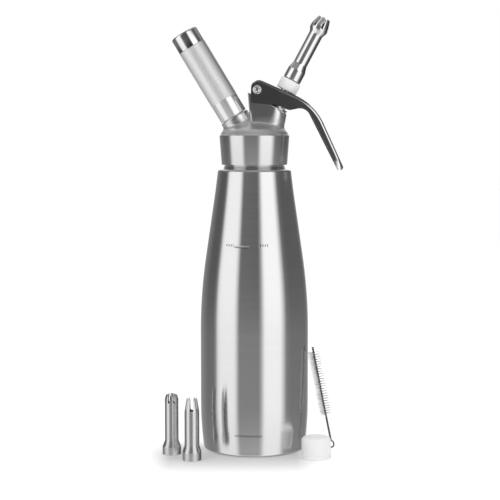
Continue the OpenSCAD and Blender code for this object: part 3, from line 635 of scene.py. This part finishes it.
def tower_outline(z):
    """The tower's outline at a height: round at the right, square at the left."""
    rise = z - TOWER_VALVE_Z
    mid = TOWER_X + rise * math.tan(TOWER_LEAN)
    left = -TOWER_LEFT - rise * math.tan(TOWER_LEFT_LEAN)
    reach = TOWER_R - TOWER_HALF
    ring = [
        (mid + reach + TOWER_HALF * math.cos(a), TOWER_HALF * math.sin(a))
        for a in np.linspace(-math.pi / 2, math.pi / 2, 73)
    ]
    back, front = (mid, TOWER_HALF), (mid, -TOWER_HALF)
    corners = [back, (left, TOWER_HALF, 0.6), (left, -TOWER_HALF, 0.6), front]
    return ring + rounded(corners, 8)[1:-1]


def tower_shell():
    """Leaning tower, cut off square to the nozzle's axis."""
    low, high = ([(*p, z) for p in tower_outline(z)] for z in (TOWER_LOW_Z, PIVOT[1] + 3))
    above = prism("above", oblong(60, 40), TOWER_TOP_U, TOWER_TOP_U + 60, NOZZLE)
    return cut(loft("tower", low, high), [above])


def dome_shell():
    """Part of a sphere on the collar's top."""
    edge = math.asin(DOME_R / SPHERE_R)
    foot = [(0, DOME_LOW_Z), (DOME_LOW_R, DOME_LOW_Z), (DOME_LOW_R + 0.6, COLLAR_TOP_Z + 0.1)]
    crown = [
        (SPHERE_R * math.sin(a), SPHERE_Z + SPHERE_R * math.cos(a))
        for a in np.linspace(edge, 0, 24)
    ]
    return lathe("dome", foot + crown, steps=256)


def boss_shell():
    """Round boss that the charger holder screws up to."""
    corners = [(0, BOSS_LOW_U), (BOSS_R, BOSS_LOW_U), (BOSS_R, BOSS_U, 0.9), (0, BOSS_U)]
    return lathe("boss", rounded(corners, 5), HOLDER, steps=192)


def lug_shell():
    """Lug on top of the tower that takes the lever's screw."""
    x, z = PIVOT
    arc = [
        (x + LUG_R * math.cos(a), z + LUG_R * math.sin(a)) for a in np.linspace(0, math.pi, 25)
    ]
    foot = [(x - 6, LUG_LOW_Z), (x + 7.2, LUG_LOW_Z), (x + 5.6, z - 4)]
    return prism("lug", foot + arc, -TOWER_HALF, TOWER_HALF, plane="XZ")


def at_foot(p):
    """Where the tower and the boss run into the dome, and not the boss's own end."""
    along = -p.x * math.sin(HOLDER_LEAN) + (p.z - AXES_Z) * math.cos(HOLDER_LEAN)
    return CONE_TOP_Z - 1.5 < p.z < FILLETS_TOP_Z and (along < BOSS_U - 2.7 or p.x > -2)


def satin_steel():
    """Steel of the head, with painted shade on the tower's flats and left edge, and rougher on the
    dome.
    """
    look = brushed("satin_steel", 0.62, 0.19, line=0.5, depth=0.002, spread=0.03)
    # painted shade: the tower's flat front and back faces are tinted darker by their normal
    painted_flat_shade = look.span(look.absolute(look.facing()[1]), 0.94, 0.985, 0, 1)
    across, deep, height = look.position()
    # painted shade along the tower's rounded left edge, above the dome
    corner = look.span(look.absolute(deep), TOWER_HALF - 1.2, TOWER_HALF - 0.7, 0, 1)
    left = look.span(look.absolute(look.plus(across, 4.6)), 2.2, 2.6, 1, 0)
    dome_at_flats = SPHERE_Z + math.sqrt(SPHERE_R ** 2 - TOWER_HALF ** 2)
    above = look.span(height, dome_at_flats + 0.2, dome_at_flats + 1.2, 0, 1)
    painted_edge_shade = look.times(look.times(corner, left), above)
    look.tint(look.most(painted_flat_shade, painted_edge_shade), grey(0.82), grey(0.50))
    dome_top = CONE_TOP_Z + DOME_H
    look.rough(look.span(height, dome_top, dome_top + 5, 0.38, 0.19))
    return look


casting = join("head_casting", [dome_shell(), tower_shell(), boss_shell(), lug_shell()])
head = soften(casting, 0.34, 10, at_foot, 240)
dress(head, satin_steel(), "head", "head_body", slot="head_steel")

# --- lever -----------------------------------------------------------------------------------

LEVER_T, LEVER_EDGE_R, LEVER_HOLE_R = 1.5, 2.5, 6.2
CHEEK_IN, CHEEK_OUT = 12.8, 14.3
LEVER_LEFT = PIVOT[0] - 5.1
TIP = np.array([PIVOT[0] + 71.4, PIVOT[1] - 64.2])
WEB_U, TIP_W, TIP_HALF, ELBOW_R = 54.25, 4.6, 11.2, 46.0
WEB_SLOPE, HANDLE_LEAN = math.radians(23.4), math.radians(24.8)
# Corners of the cheeks' lower edge, from the pivot, with their radii.
CHEEK_EDGE = [(40.6, -13.6, 9), (27.2, -16.4, 6), (14.6, -12.4, 14)]
web_mid = np.array([WEB_U * math.sin(NOZZLE_LEAN), AXES_Z + WEB_U * math.cos(NOZZLE_LEAN)])
web_dir = np.array([math.cos(WEB_SLOPE), -math.sin(WEB_SLOPE)])
web_out = np.array([math.sin(WEB_SLOPE), math.cos(WEB_SLOPE)])
handle_dir = np.array([math.sin(HANDLE_LEAN), -math.cos(HANDLE_LEAN)])
handle_out = np.array([math.cos(HANDLE_LEAN), math.sin(HANDLE_LEAN)])


def cross2(a, b):
    """Cross product of two flat vectors."""
    return a[0] * b[1] - a[1] * b[0]


def elbow(t):
    """Where the lines of the back and the handle meet, at a depth under the surface."""
    a = web_mid + web_out * (LEVER_T / 2 - t)
    b = TIP - handle_out * t
    return a + web_dir * cross2(b - a, handle_dir) / cross2(web_dir, handle_dir)


def web_at(x, t):
    """Height of the back at x, at a depth under the surface."""
    a = web_mid + web_out * (LEVER_T / 2 - t)
    return a[1] - (x - a[0]) * math.tan(WEB_SLOPE)


def lever_plan(name, t):
    """Block with the lever's outline from above, narrower by t all round."""
    side = [
        (LEVER_LEFT - 20, CHEEK_OUT - t), (PIVOT[0] + 18, CHEEK_OUT - t, 60),
        (TIP[0] + 0.4 - t, TIP_HALF - t, 7),
    ]
    low = [(p[0], -p[1], *p[2:]) for p in side]
    return prism(name, rounded(low + side[::-1], 12), TIP[1] - 20, PIVOT[1] + 40)


def round_bend(piece, radius):
    """Rounds the bend between the lever's back and its cheeks."""
    work = bmesh.new()
    work.from_mesh(piece.data)
    edges = []
    for edge in work.edges:
        if len(edge.link_faces) != 2:
            continue
        back, cheek = sorted((face.normal for face in edge.link_faces), key=lambda n: abs(n.y))
        outward = back.x * 0.6 + back.z * 0.8
        if abs(back.y) < 0.3 and abs(cheek.y) > 0.6 and outward > 0.05:
            edges.append(edge)
    bmesh.ops.bevel(work, geom=edges, offset=radius * MM, segments=8, profile=0.5, affect="EDGES")
    work.to_mesh(piece.data)
    work.free()


def lever_pressing():
    """Bent channel of sheet: a back with two cheeks, a handle and a hole for the valve stem."""
    x, z = PIVOT
    tip_in = TIP - handle_out * TIP_W + handle_dir * 0.5
    outline = rounded([
        (LEVER_LEFT, z - 10.8, 1.5), (LEVER_LEFT, web_at(LEVER_LEFT, 0), 6.4),
        (*elbow(0), ELBOW_R), (*TIP, 2), (*tip_in, 1.4),
        *((x + across, z + up, r) for across, up, r in CHEEK_EDGE),
    ], 16)
    closed = TIP - handle_out * LEVER_T - handle_dir * 4
    open_x, open_z = LEVER_LEFT - 9, closed[1] - 10
    hollow = rounded([
        (open_x, web_at(open_x, LEVER_T)), (*elbow(LEVER_T), ELBOW_R - LEVER_T), tuple(closed),
        (closed[0] - 22, open_z), (open_x, open_z),
    ], 16)
    solid = prism("lever_pressing", outline, -CHEEK_OUT, CHEEK_OUT, plane="XZ")
    cut(solid, [lever_plan("plan", 0)], "INTERSECT")
    round_bend(solid, LEVER_EDGE_R)
    void = prism("void", hollow, -CHEEK_IN, CHEEK_IN, plane="XZ")
    cut(void, [lever_plan("plan_in", LEVER_T)], "INTERSECT")
    drill = [(0, 48), (LEVER_HOLE_R, 48), (LEVER_HOLE_R, 60), (0, 60)]
    cut(solid, [void, lathe("hole", drill, NOZZLE, steps=96)])
    smooth(solid, 30)
    apply_modifier(solid, "WEIGHTED_NORMAL", keep_sharp=True, weight=100)
    return solid


def lever_steel():
    """Dark polished steel, with painted highlights along its rounded bend, inside the handle and at
    the tip.
    """
    look = polished("dark_polished_steel", 0.78, 0.13, depth=0.006)
    look.shader.inputs["Specular Tint"].default_value = (*grey(0.12), 1)
    x, y, z = look.facing()
    # painted highlight along the rounded bend, on the side turned to the right and down
    bend = look.span(look.absolute(y), 0.94, 0.99, 1, 0)
    highlight_side = look.span(look.math("SUBTRACT", x, look.times(z, 0.9)), -0.02, 0.06, 0, 1)
    # painted highlight inside the handle, on faces turned to the left
    inside = look.span(x, -0.3, -0.6, 0, 0.2)
    # painted highlight at the handle's tip
    tip = look.span(look.position()[2], TIP[1] + 6.5, TIP[1] + 5.5, 0, 0.62)
    bright = look.most(look.times(bend, highlight_side), inside)
    look.tint(look.most(bright, tip), grey(0.25), grey(0.97))
    return look


dress(lever_pressing(), lever_steel(), "lever_body", "lever", slot="lever_steel")


def pivot_screw():
    """Cross-slotted screw through the lever's cheeks, with a raised ring on its head."""
    shaft_r, head_r, seat, face = 2, 3.65, CHEEK_OUT + 0.05, 15.2
    place = Matrix.Translation((PIVOT[0], 0, PIVOT[1])) @ Matrix.Rotation(math.pi / 2, 4, "X")
    outline = rounded([
        (0, -16.4), (shaft_r, -16.4), (shaft_r, seat), (head_r, seat, 0.2), (head_r, face, 0.3),
        (3.0, face + 0.55, 0.3), (2.55, face - 0.1, 0.1), (2.25, face, 0.1),
        (1.5, face + 0.55, 1.2), (0, face + 0.8),
    ], 5)
    screw = lathe("pivot_screw", outline, place, steps=64)
    slots = []
    for a in (20.0, 110.0):
        turn = place @ Matrix.Rotation(math.radians(a), 4, "Z")
        slots.append(prism("slot", oblong(1.9, 0.42), face - 0.2, 18, turn))
    cut(screw, slots)
    smooth(screw, 30)
    return screw


screw_look = polished("polished_steel", 0.93, 0.09)
dress(pivot_screw(), screw_look, "lever_body", "lever_screw", slot="polished_steel")

# --- ring and nozzles ------------------------------------------------------------------------

RING_IN_R, RING_R, RING_LOW_U, RING_HIGH_U = 4.65, 8.65, 55.75, 65.15
FLUTES, FLUTE_DEPTH = 12, 0.22
NOZZLE_U, NOZZLE_TURN = 65.75, 21
NOZZLE_TUBE_R, NOZZLE_BORE_R, CROWN_R = 5.85, 4.9, 7.6


def fluted_ring():
    """White ring under the nozzle, with shallow grip flats round it."""
    outline = rounded([
        (RING_IN_R, RING_LOW_U), (RING_R, RING_LOW_U, 0.7), (RING_R, RING_HIGH_U, 0.7),
        (RING_IN_R, RING_HIGH_U),
    ], 5)

    def flute(r, a):
        outer = r > (RING_IN_R + RING_R) / 2
        return FLUTE_DEPTH * (0.5 - 0.5 * math.cos(FLUTES * a)) ** 3 if outer else 0

    return lathe("nozzle_collar_ring", outline, NOZZLE, steps=180, dent=flute)


ring_look = moulded("white_plastic", grey(0.83), 0.42, NOZZLE, depth=0.002)
dress(fluted_ring(), ring_look, "stem", "nozzle_ring", slot="white_plastic")


def nozzle_piece(
    name, place, foot, tube_r, mouth_out, mouth_in, slots, width, depth, length, widest=None
):
    """Tube with slots in its mouth, one closed strip of wall for every tooth.

    The foot has a radius, a height and the height where the tube starts. The mouth has corners
    outside and inside. The slots are parallel, or else get their width at the radius widest.
    """
    base_r, foot_z, tube_z = foot
    shank = [(0, 0), (base_r, 0, 0.4), (base_r, foot_z, 2), (tube_r, tube_z, 4)]
    outer = rounded(shank + mouth_out, 8)[1:]
    inner = rounded([(0, -1), (NOZZLE_BORE_R, -1)] + mouth_in, 8)[1:]
    low, half = length - depth, width / 2
    levels = [z for r, z in outer + inner if 0 <= z <= length] + [0, length]
    levels += [low + half - half * math.cos(a) for a in np.linspace(0, math.pi / 2, 9)]
    levels = sorted({round(float(z), 2) for z in levels})
    out_z, in_z = [p[1] for p in outer], [p[1] for p in inner]
    walls = [
        (np.interp(z, out_z, [p[0] for p in outer]), np.interp(z, in_z, [p[0] for p in inner]))
        for z in levels
    ]
    points, faces, steps = [], [], 144 // slots
    for i in range(slots):
        rows = []
        for z, wall in zip(levels, walls):
            rise = max(0.0, low + half - z)
            gap = math.sqrt(max(0.0, half * half - rise * rise)) if z > low else 0.0
            for r in wall:
                edge = math.pi / slots - math.asin(min(0.9, gap / (widest or r)))
                rows.append(range(len(points), len(points) + steps + 1))
                for k in range(steps + 1):
                    a = 2 * math.pi * i / slots + edge * (2 * k / steps - 1)
                    points.append((r * math.cos(a), r * math.sin(a), z))
        outside, inside = rows[0::2], rows[1::2]
        for side in (outside, inside):
            for a, b in zip(side, side[1:]):
                faces += strip(a, b)
        for end in (0, -1):
            faces += strip(outside[end], inside[end])
        for j in range(len(levels) - 1):
            if levels[j] >= low - 0.005:  # the levels are rounded to 0.01
                a, b, c, d = outside[j], outside[j + 1], inside[j + 1], inside[j]
                faces += [(a[k], b[k], c[k], d[k]) for k in (0, steps)]
    return make(name, points, faces, place)


nozzle = nozzle_piece(
    "serving_nozzle",
    NOZZLE @ about(0, 0, NOZZLE_U, swing=NOZZLE_TURN),
    (7.5, 9, 14.5), NOZZLE_TUBE_R,
    [
        (NOZZLE_TUBE_R, 42.3, 3), (CROWN_R, 46.0, 3.5), (CROWN_R, 49.5, 6), (5.5, 56.5), (5.1, 57),
    ],
    [(NOZZLE_BORE_R, 43.3, 3), (CROWN_R - 1.2, 46.8, 3), (CROWN_R - 1.2, 49.2, 5), (3.9, 58)],
    slots=6, width=4.1, depth=9.5, length=57, widest=CROWN_R,
)
nozzle_look = polished("mirror_steel", 0.93, 0.09, NOZZLE, depth=0.02)
# painted shade on the mounted nozzle's sides
nozzle_look.paint_side_shade(NOZZLE_LEAN, 0.70, 0.20)
dress(nozzle, nozzle_look, "nozzle_body", "nozzle", slot="polished_steel")

spare_look = polished("spare_steel", 0.72, 0.2, depth=0.02)
# painted shade on the spare nozzles' sides
spare_look.paint_side_shade(0, 0.82, 0.3)
spare_look.rough(spare_look.span(spare_look.position()[2], 6.0, 6.8, 0.42, 0.27))
domed = nozzle_piece(
    "tulip_nozzle", DOMED_SPARE, (7.6, 6.6, 11.3), 5.6,
    [(5.6, 45.6, 5), (4.6, 49.4, 2.2), (2.2, 50.2)],
    [(4.7, 44.6, 3), (3.4, 48.4, 1), (1.4, 51.2)],
    slots=8, width=1.5, depth=7.5, length=50.2,
)
dress(domed, spare_look, "domed_nozzle", "spare_nozzle_domed", slot="polished_steel")
conical = nozzle_piece(
    "star_nozzle", CONICAL_SPARE, (7.6, 7.4, 11.9), 6.0,
    [(6.0, 39.9, 2), (4.3, 50.0), (4.0, 50.4)],
    [(NOZZLE_BORE_R, 39.9, 1), (3.0, 51.4)],
    slots=6, width=2.5, depth=10.5, length=50.4,
)
dress(conical, spare_look, "conical_nozzle", "spare_nozzle_conical", slot="polished_steel")

# --- charger holder --------------------------------------------------------------------------

BAND_U, TUBE_END_U, HOLDER_END_U = 48.7, 99.3, 112.7
HOLDER_R, HOLDER_IN_R, SPIGOT_R, SPIGOT_END_U = 11.7, 9.55, 10.6, TUBE_END_U + 5
CAP_CORE_U, SLACK, KNURL_H = 103.0, 0.1, 0.1
sleeve = lathe(
    "holder_sleeve",
    rounded([
        (HOLDER_IN_R, BOSS_U + 0.3), (HOLDER_R, BOSS_U + 0.3, 0.5), (HOLDER_R, BAND_U),
        (HOLDER_R + KNURL_H, BAND_U + 0.1), (HOLDER_R + KNURL_H, TUBE_END_U - 0.1),
        (HOLDER_R, TUBE_END_U), (SPIGOT_R, TUBE_END_U), (SPIGOT_R, SPIGOT_END_U),
        (HOLDER_IN_R, SPIGOT_END_U),
    ], 4),
    HOLDER, steps=192,
)
end_cap = lathe(
    "holder_cap",
    rounded([
        (0, CAP_CORE_U), (HOLDER_IN_R, CAP_CORE_U), (HOLDER_IN_R, SPIGOT_END_U + SLACK),
        (SPIGOT_R + SLACK / 2, SPIGOT_END_U + SLACK), (SPIGOT_R + SLACK / 2, TUBE_END_U + SLACK),
        (HOLDER_R, TUBE_END_U + SLACK, 0.3), (HOLDER_R, HOLDER_END_U, 1.6), (0, HOLDER_END_U),
    ], 8),
    HOLDER, steps=192,
)


def knurled():
    """Fine diamond knurl above a plain band, on the holder's own axis, with painted shade in its
    grooves and on its sides.
    """
    around, climb = 44.0, 3.9
    look = Look("knurled_steel", grey(0.95), 0.78, 0.3, HOLDER)
    x, y, z = look.position()
    turn = look.times(look.math("ARCTAN2", y, x), around)
    rise = look.times(z, climb)
    one_way = look.math("SINE", look.plus(turn, rise))
    other_way = look.math("SINE", look.math("SUBTRACT", turn, rise))
    diamonds = look.math("MINIMUM", one_way, other_way)
    grip = look.span(z, BAND_U, BAND_U + 0.3, 0, 1)
    fine = look.noise(3.0, (0.05, 0.05, 1), 2.0)
    look.bump(look.plus(look.times(diamonds, grip), look.times(fine, 0.05)), 0.06, 0.9)
    look.rough(look.span(grip, 0, 1, 0.14, 0.3))
    speck = look.noise(2.4, detail=2.0)
    # tone of the knurl: painted shade in its grooves, with random speckle
    groove_shade_and_speckle = look.span(look.plus(diamonds, speck), -1.0, 1.2, 0.66, 1)
    # painted shade on the sleeve's sides, by how far each face turns aside
    lit = look.span(look.turned(-HOLDER_LEAN), 0.82, 0.97, 1, 0)
    look.tint(look.times(groove_shade_and_speckle, lit), grey(0.40), grey(1.0))
    return look


def cap_with_painted_reflections():
    """Mirror steel with painted dark reflections up its middle and sides, and painted shade darkest
    at the seam.
    """
    look = polished("mirror_cap", 0.94, 0.06, HOLDER, depth=0.006)
    right = look.rightward(-HOLDER_LEAN)
    aside = look.absolute(look.plus(right, 0.05))
    # painted dark reflections up the cap's middle and sides
    painted_reflection_streaks = look.most(look.span(aside, 0.20, 0.26, 1, 0), look.span(aside, 0.60, 0.68, 0, 1))
    low = look.span(look.position()[2], TUBE_END_U + 1, TUBE_END_U + 7, 0.5, 0)
    # painted shade near the seam, except on its right side
    painted_seam_shade = look.times(low, look.span(right, 0.3, 0.4, 1, 0))
    look.tint(look.times(painted_reflection_streaks, look.plus(painted_seam_shade, 0.45)), grey(0.94), grey(0.12))
    return look


dress(sleeve, knurled(), "holder", "holder_tube", slot="knurled_steel")
dress(end_cap, cap_with_painted_reflections(), "holder", "holder_end", slot="polished_steel")

# --- cover, brush and spring -----------------------------------------------------------------

COVER_IN_R, COVER_R, COVER_LIP_R, COVER_H = 10.6, 11.9, 12.3, 17.4
TWIST_PITCH, WIRE_R, STRAND_R, WIRE_TOP = 4.2, 0.5, 0.47, 86.4
BRISTLES, BRISTLES_LOW, BRISTLES_HIGH, BRISTLE_REACH = 900, 28.4, 82.4, 5.35
SPRING_LOW, SPRING_HIGH, SPRING_WIRE, SPRING_R = 41.2, 51.05, 0.9, 6.2

cover = lathe(
    "nozzle_cover",
    rounded([
        (COVER_IN_R, 0), (COVER_LIP_R, 0, 0.5), (COVER_LIP_R, 1.8, 0.5), (COVER_R, 2.0),
        (COVER_R, COVER_H, 3), (0, COVER_H), (0, COVER_H - 1.3), (COVER_IN_R, COVER_H - 1.3, 1.7),
    ], 8),
    COVER,
)
cover_look = moulded(
    "frosted_plastic", grey(0.95), 0.5, depth=0.002, Transmission_Weight=0.12, IOR=1.45
)
dress(cover, cover_look, "cap", "protective_cap", slot="clear_plastic")


def twisted_wire():
    """Two wires twisted into one, ending in an open loop that the brush stands on."""
    heights = np.linspace(5.5, WIRE_TOP, 360)
    wires = []
    for phase in (0.0, math.pi):
        a = -2 * math.pi * heights / TWIST_PITCH + phase
        line = np.stack([WIRE_R * np.cos(a), WIRE_R * np.sin(a), heights], axis=1)
        wires.append(tube("strand", line, STRAND_R, 8, BRUSH))
    a = np.linspace(math.radians(-252), math.radians(72), 72)
    loop = np.stack([1.8 * np.cos(a), np.zeros(72), 2.8 + 2.8 * np.sin(a)], axis=1)
    neck = np.array([[0.3, 0, 5.8], [0.2, 0, 6.4]])
    wires.append(tube("loop", np.concatenate([loop, neck]), 0.62, 12, BRUSH))
    wire = join("twisted_wire", wires)
    smooth(wire, 60)
    return wire


def bristles():
    """Straight nylon strands that leave the twisted wire all round, in a helix."""
    up = np.array([0, 0, 1])
    points, faces = [], []
    for i in range(BRISTLES):
        z = BRISTLES_LOW + (BRISTLES_HIGH - BRISTLES_LOW) * i / BRISTLES
        a = -2 * math.pi * (z / TWIST_PITCH + (i % 2) / 2) + rng.normal(0, 0.16)
        out = np.array([math.cos(a), math.sin(a), rng.normal(0, 0.05)])
        side = np.array([-math.sin(a), math.cos(a), 0])
        start = np.array([0.2 * out[0], 0.2 * out[1], z])
        end = start + out * (BRISTLE_REACH * rng.uniform(0.88, 0.99)) + side * rng.normal(0, 0.12)
        root, tip = (range(len(points) + first, len(points) + first + 3) for first in (0, 3))
        for p, r in ((start, 0.11), (end, 0.085)):
            for b in angles(3):
                points.append(tuple(p + r * (side * math.cos(b) + up * math.sin(b))))
        faces += band(root, tip) + [tuple(tip)]
    piece = add("nylon_bristles", mesh_of("nylon_bristles", points, faces, BRUSH))
    smooth(piece, 80)
    return piece


def coil_spring():
    """Valve spring, closed at both ends as a ground coil spring is."""
    turns, closed_share = 4, 0.1
    share = np.linspace(0, 1, 220)
    a = 2 * math.pi * turns * share
    rise = np.clip((share - closed_share) / (1 - 2 * closed_share), 0, 1)
    low, high = SPRING_LOW + SPRING_WIRE / 2, SPRING_HIGH - SPRING_WIRE / 2
    line = np.stack([SPRING_R * np.cos(a), SPRING_R * np.sin(a), low + (high - low) * rise], axis=1)
    return tube("coil_spring", line, SPRING_WIRE / 2, 12, NOZZLE)


wire_look = polished("dark_wire", 0.18, 0.3, BRUSH)
dress(twisted_wire(), wire_look, "brush", "brush_wire", slot="brush_wire")
bristle_look = moulded(
    "clear_nylon", (0.74, 0.74, 0.75), 0.35, BRUSH, depth=0.005, Transmission_Weight=0.35, IOR=1.5
)
dress(bristles(), bristle_look, "brush", "brush_bristles", slot="bristles")

spring = coil_spring()
spring_look = polished("spring_steel", 0.6, 0.2, NOZZLE)
dress(spring, spring_look, "head", "valve_spring", slot="machined_steel")
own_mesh(spring)

# --- nodes that keep the model's shape -------------------------------------------------------

RUBBER = (0.02, 0.02, 0.022)
kept = {
    "neck_ring": brushed("neck_steel", 0.7, 0.25),
    "head_gasket": moulded("black_rubber", (0.022, 0.022, 0.024), 0.6),
    "stem_guide": brushed("nickel_plated", 0.62, 0.22, NOZZLE),
    "stem_oring": moulded("seal_rubber", RUBBER, 0.5, depth=0.01),
    "valve_stem": polished("stem_steel", 0.72, 0.12, NOZZLE),
    "valve_seal": moulded("valve_rubber", RUBBER, 0.5, depth=0.01),
    "seal_nut": brushed("nut_steel", 0.6, 0.25, NOZZLE),
    "lever_nut": polished("lever_nut_steel", 0.7, 0.15),
    "nozzle_washer": moulded("washer_rubber", (0.03, 0.03, 0.032), 0.55, NOZZLE, depth=0.01),
    "charger_nipple": brushed("nipple_steel", 0.65, 0.25, HOLDER),
    "piercing_pin": brushed("pin_brass", 0.5, 0.25, HOLDER),
    "return_disc": moulded("disc_rubber", RUBBER, 0.6, depth=0.01),
    "charger_seal": moulded("charger_rubber", RUBBER, 0.6, depth=0.01),
    "gas_charger": polished("charger_steel", 0.66, 0.2, HOLDER),
}
brass = kept["piercing_pin"]
brass.tint(brass.noise(0.4), (0.42, 0.27, 0.10), (0.60, 0.42, 0.18))
for name, look in kept.items():
    node = nodes[name]
    node.data.materials.clear()
    node.data.materials.append(look.material)

# --- floor, light and camera -----------------------------------------------------------------


def studio():
    """White all round to the eye; to metal, a studio with two tall windows of light in front."""
    world = bpy.data.worlds.new("studio")
    bpy.context.scene.world = world
    world.use_nodes = True
    sky = Nodes(world.node_tree)
    sky.tree.nodes.clear()
    x, y, z = sky.split(sky.node("ShaderNodeTexCoord").outputs["Generated"])
    azimuth = sky.times(sky.math("ARCTAN2", x, sky.times(y, -1.0)), 180 / math.pi)
    rise = sky.times(sky.math("ARCSINE", z), 180 / math.pi)
    windows = sky.ramp(azimuth, [
        (-180, 1), (-168, 1), (-158, 0.15), (-118, 0.0), (-98, 0.0), (-91, 0.1), (-83, 0.8),
        (-76, 0.9), (-58, 0.92), (-44, 0.9), (-39, 0.6), (-33, 0.03), (0, 0.0), (9, 0.0),
        (15, 0.3), (21, 0.92), (28, 1), (56, 1), (63, 0.6), (71, 0.05), (84, 0.0), (140, 0),
        (156, 0.15), (168, 1), (180, 1),
    ], -180, 180)
    flanks = sky.ramp(azimuth, [
        (-180, 0.9), (-150, 0.7), (-90, 0.7), (-30, 0.9), (0, 1), (20, 0.9), (80, 0.78),
        (150, 0.78), (180, 0.9),
    ], -180, 180)
    behind = sky.ramp(azimuth, [
        (-180, 1), (-125, 1), (-95, 0), (95, 0), (125, 1), (180, 1),
    ], -180, 180)
    between = sky.ramp(rise, [
        (-90, 0.8), (-32, 0.55), (-24, 0.35), (-15, 0.285), (-10, 0.27), (-6, 0.2), (-2, 0.165),
        (8, 0.14), (13, 0.12), (25, 0.16), (45, 0.26), (60, 0.38), (75, 0.5), (90, 0.55),
    ], -90, 90)
    window = sky.ramp(rise, [
        (-90, 0.9), (-30, 0.93), (-12, 1.06), (0, 1.19), (30, 1.2), (60, 1.0), (90, 0.9),
    ], -90, 90)
    height = sky.ramp(rise, [(-90, 1), (27, 1), (42, 0.0), (90, 0.0)], -90, 90)
    above = sky.ramp(rise, [(-90, 0), (20, 0), (32, 0.33), (60, 0.3), (90, 0.1)], -90, 90)
    walls = sky.plus(sky.times(between, flanks), sky.times(behind, above))
    to_metal = sky.mix(sky.times(windows, height), walls, window)
    ray = sky.node("ShaderNodeLightPath").outputs
    to_surfaces = sky.mix(ray["Is Glossy Ray"], grey(0.72), to_metal)
    seen = sky.most(ray["Is Camera Ray"], ray["Is Transmission Ray"])
    background = sky.node("ShaderNodeBackground")
    sky.feed(background.inputs["Color"], sky.mix(seen, to_surfaces, grey(1)))
    output = sky.node("ShaderNodeOutputWorld")
    sky.feed(output.inputs["Surface"], background.outputs[0])


def floor():
    """Pale table that takes the shadows, with a soft shadow painted round the objects' bases; metal
    sees the studio through it.
    """
    points = [(x, y, -0.2) for x, y in oblong(6000, 6000)]
    table = add("table", mesh_of("table", points, [(0, 1, 2, 3)]))
    material = bpy.data.materials.new("table_white")
    material.use_nodes = True
    table.data.materials.append(material)
    paint = Nodes(material.node_tree)
    paint.tree.nodes.clear()
    x, y, z = paint.split(paint.node("ShaderNodeTexCoord").outputs["Object"])
    # painted soft shadow round the bases of the bottle, nozzles and cover, fading to the front and
    # the sides
    across = paint.ramp(x, [
        (-0.092, 0), (-0.079, 0.4), (-0.068, 1), (0.034, 1), (0.044, 0.5), (0.056, 0.12), (0.07, 0),
    ], -0.1, 0.1)
    deep = paint.ramp(y, [
        (-0.127, 0), (-0.113, 0.02), (-0.098, 0.06), (-0.083, 0.15), (-0.068, 0.28),
        (-0.053, 0.38), (-0.042, 0.44), (-0.025, 0.44), (-0.002, 0.3), (0.02, 0.05), (0.035, 0),
    ], -0.13, 0.05)
    shade = paint.mix(paint.times(across, deep), grey(1), grey(0))
    diffuse = paint.node("ShaderNodeBsdfDiffuse")
    paint.feed(diffuse.inputs["Color"], paint.mix(0.5, grey(0), shade))
    glow = paint.node("ShaderNodeEmission")
    glow.inputs["Strength"].default_value = 0.64
    paint.feed(glow.inputs["Color"], shade)
    lit = paint.node("ShaderNodeAddShader")
    paint.feed(lit.inputs[0], diffuse.outputs[0])
    paint.feed(lit.inputs[1], glow.outputs[0])
    either = paint.node("ShaderNodeMixShader")
    paint.feed(either.inputs["Fac"], paint.node("ShaderNodeLightPath").outputs["Is Glossy Ray"])
    paint.feed(either.inputs[1], lit.outputs[0])
    paint.feed(either.inputs[2], paint.node("ShaderNodeBsdfTransparent").outputs[0])
    output = paint.node("ShaderNodeOutputMaterial")
    paint.feed(output.inputs["Surface"], either.outputs[0])


def lamp(name, at, size, energy, aim=(0, 0, 0.15)):
    """Round area lamp that metal doesn't mirror, in metres and watts."""
    light = bpy.data.lights.new(name, "AREA")
    light.shape = "DISK"
    light.size = size
    light.energy = energy
    stand = add(name, light)
    stand.location = at
    stand.rotation_euler = (Vector(aim) - Vector(at)).to_track_quat("-Z", "Y").to_euler()
    stand.visible_glossy = False


def view():
    """Camera of the photograph: long lens, 1.17 m away, looking a little down."""
    camera = bpy.data.cameras.new("camera")
    camera.lens = 101.5
    camera.sensor_width = 36
    eye = add("camera", camera)
    eye.location = (-0.0037, -1.170, 0.2626)
    eye.rotation_euler = (math.radians(90 - 4.725), 0, 0)
    bpy.context.scene.camera = eye
    bpy.context.scene.view_settings.view_transform = "Standard"


studio()
floor()
lamp("key", (-0.9, -1.0, 1.5), 0.9, 9)
lamp("fill", (1.1, -0.7, 1.1), 0.9, 5)
lamp("back", (0.2, 1.3, 1.4), 1.0, 4)
view()

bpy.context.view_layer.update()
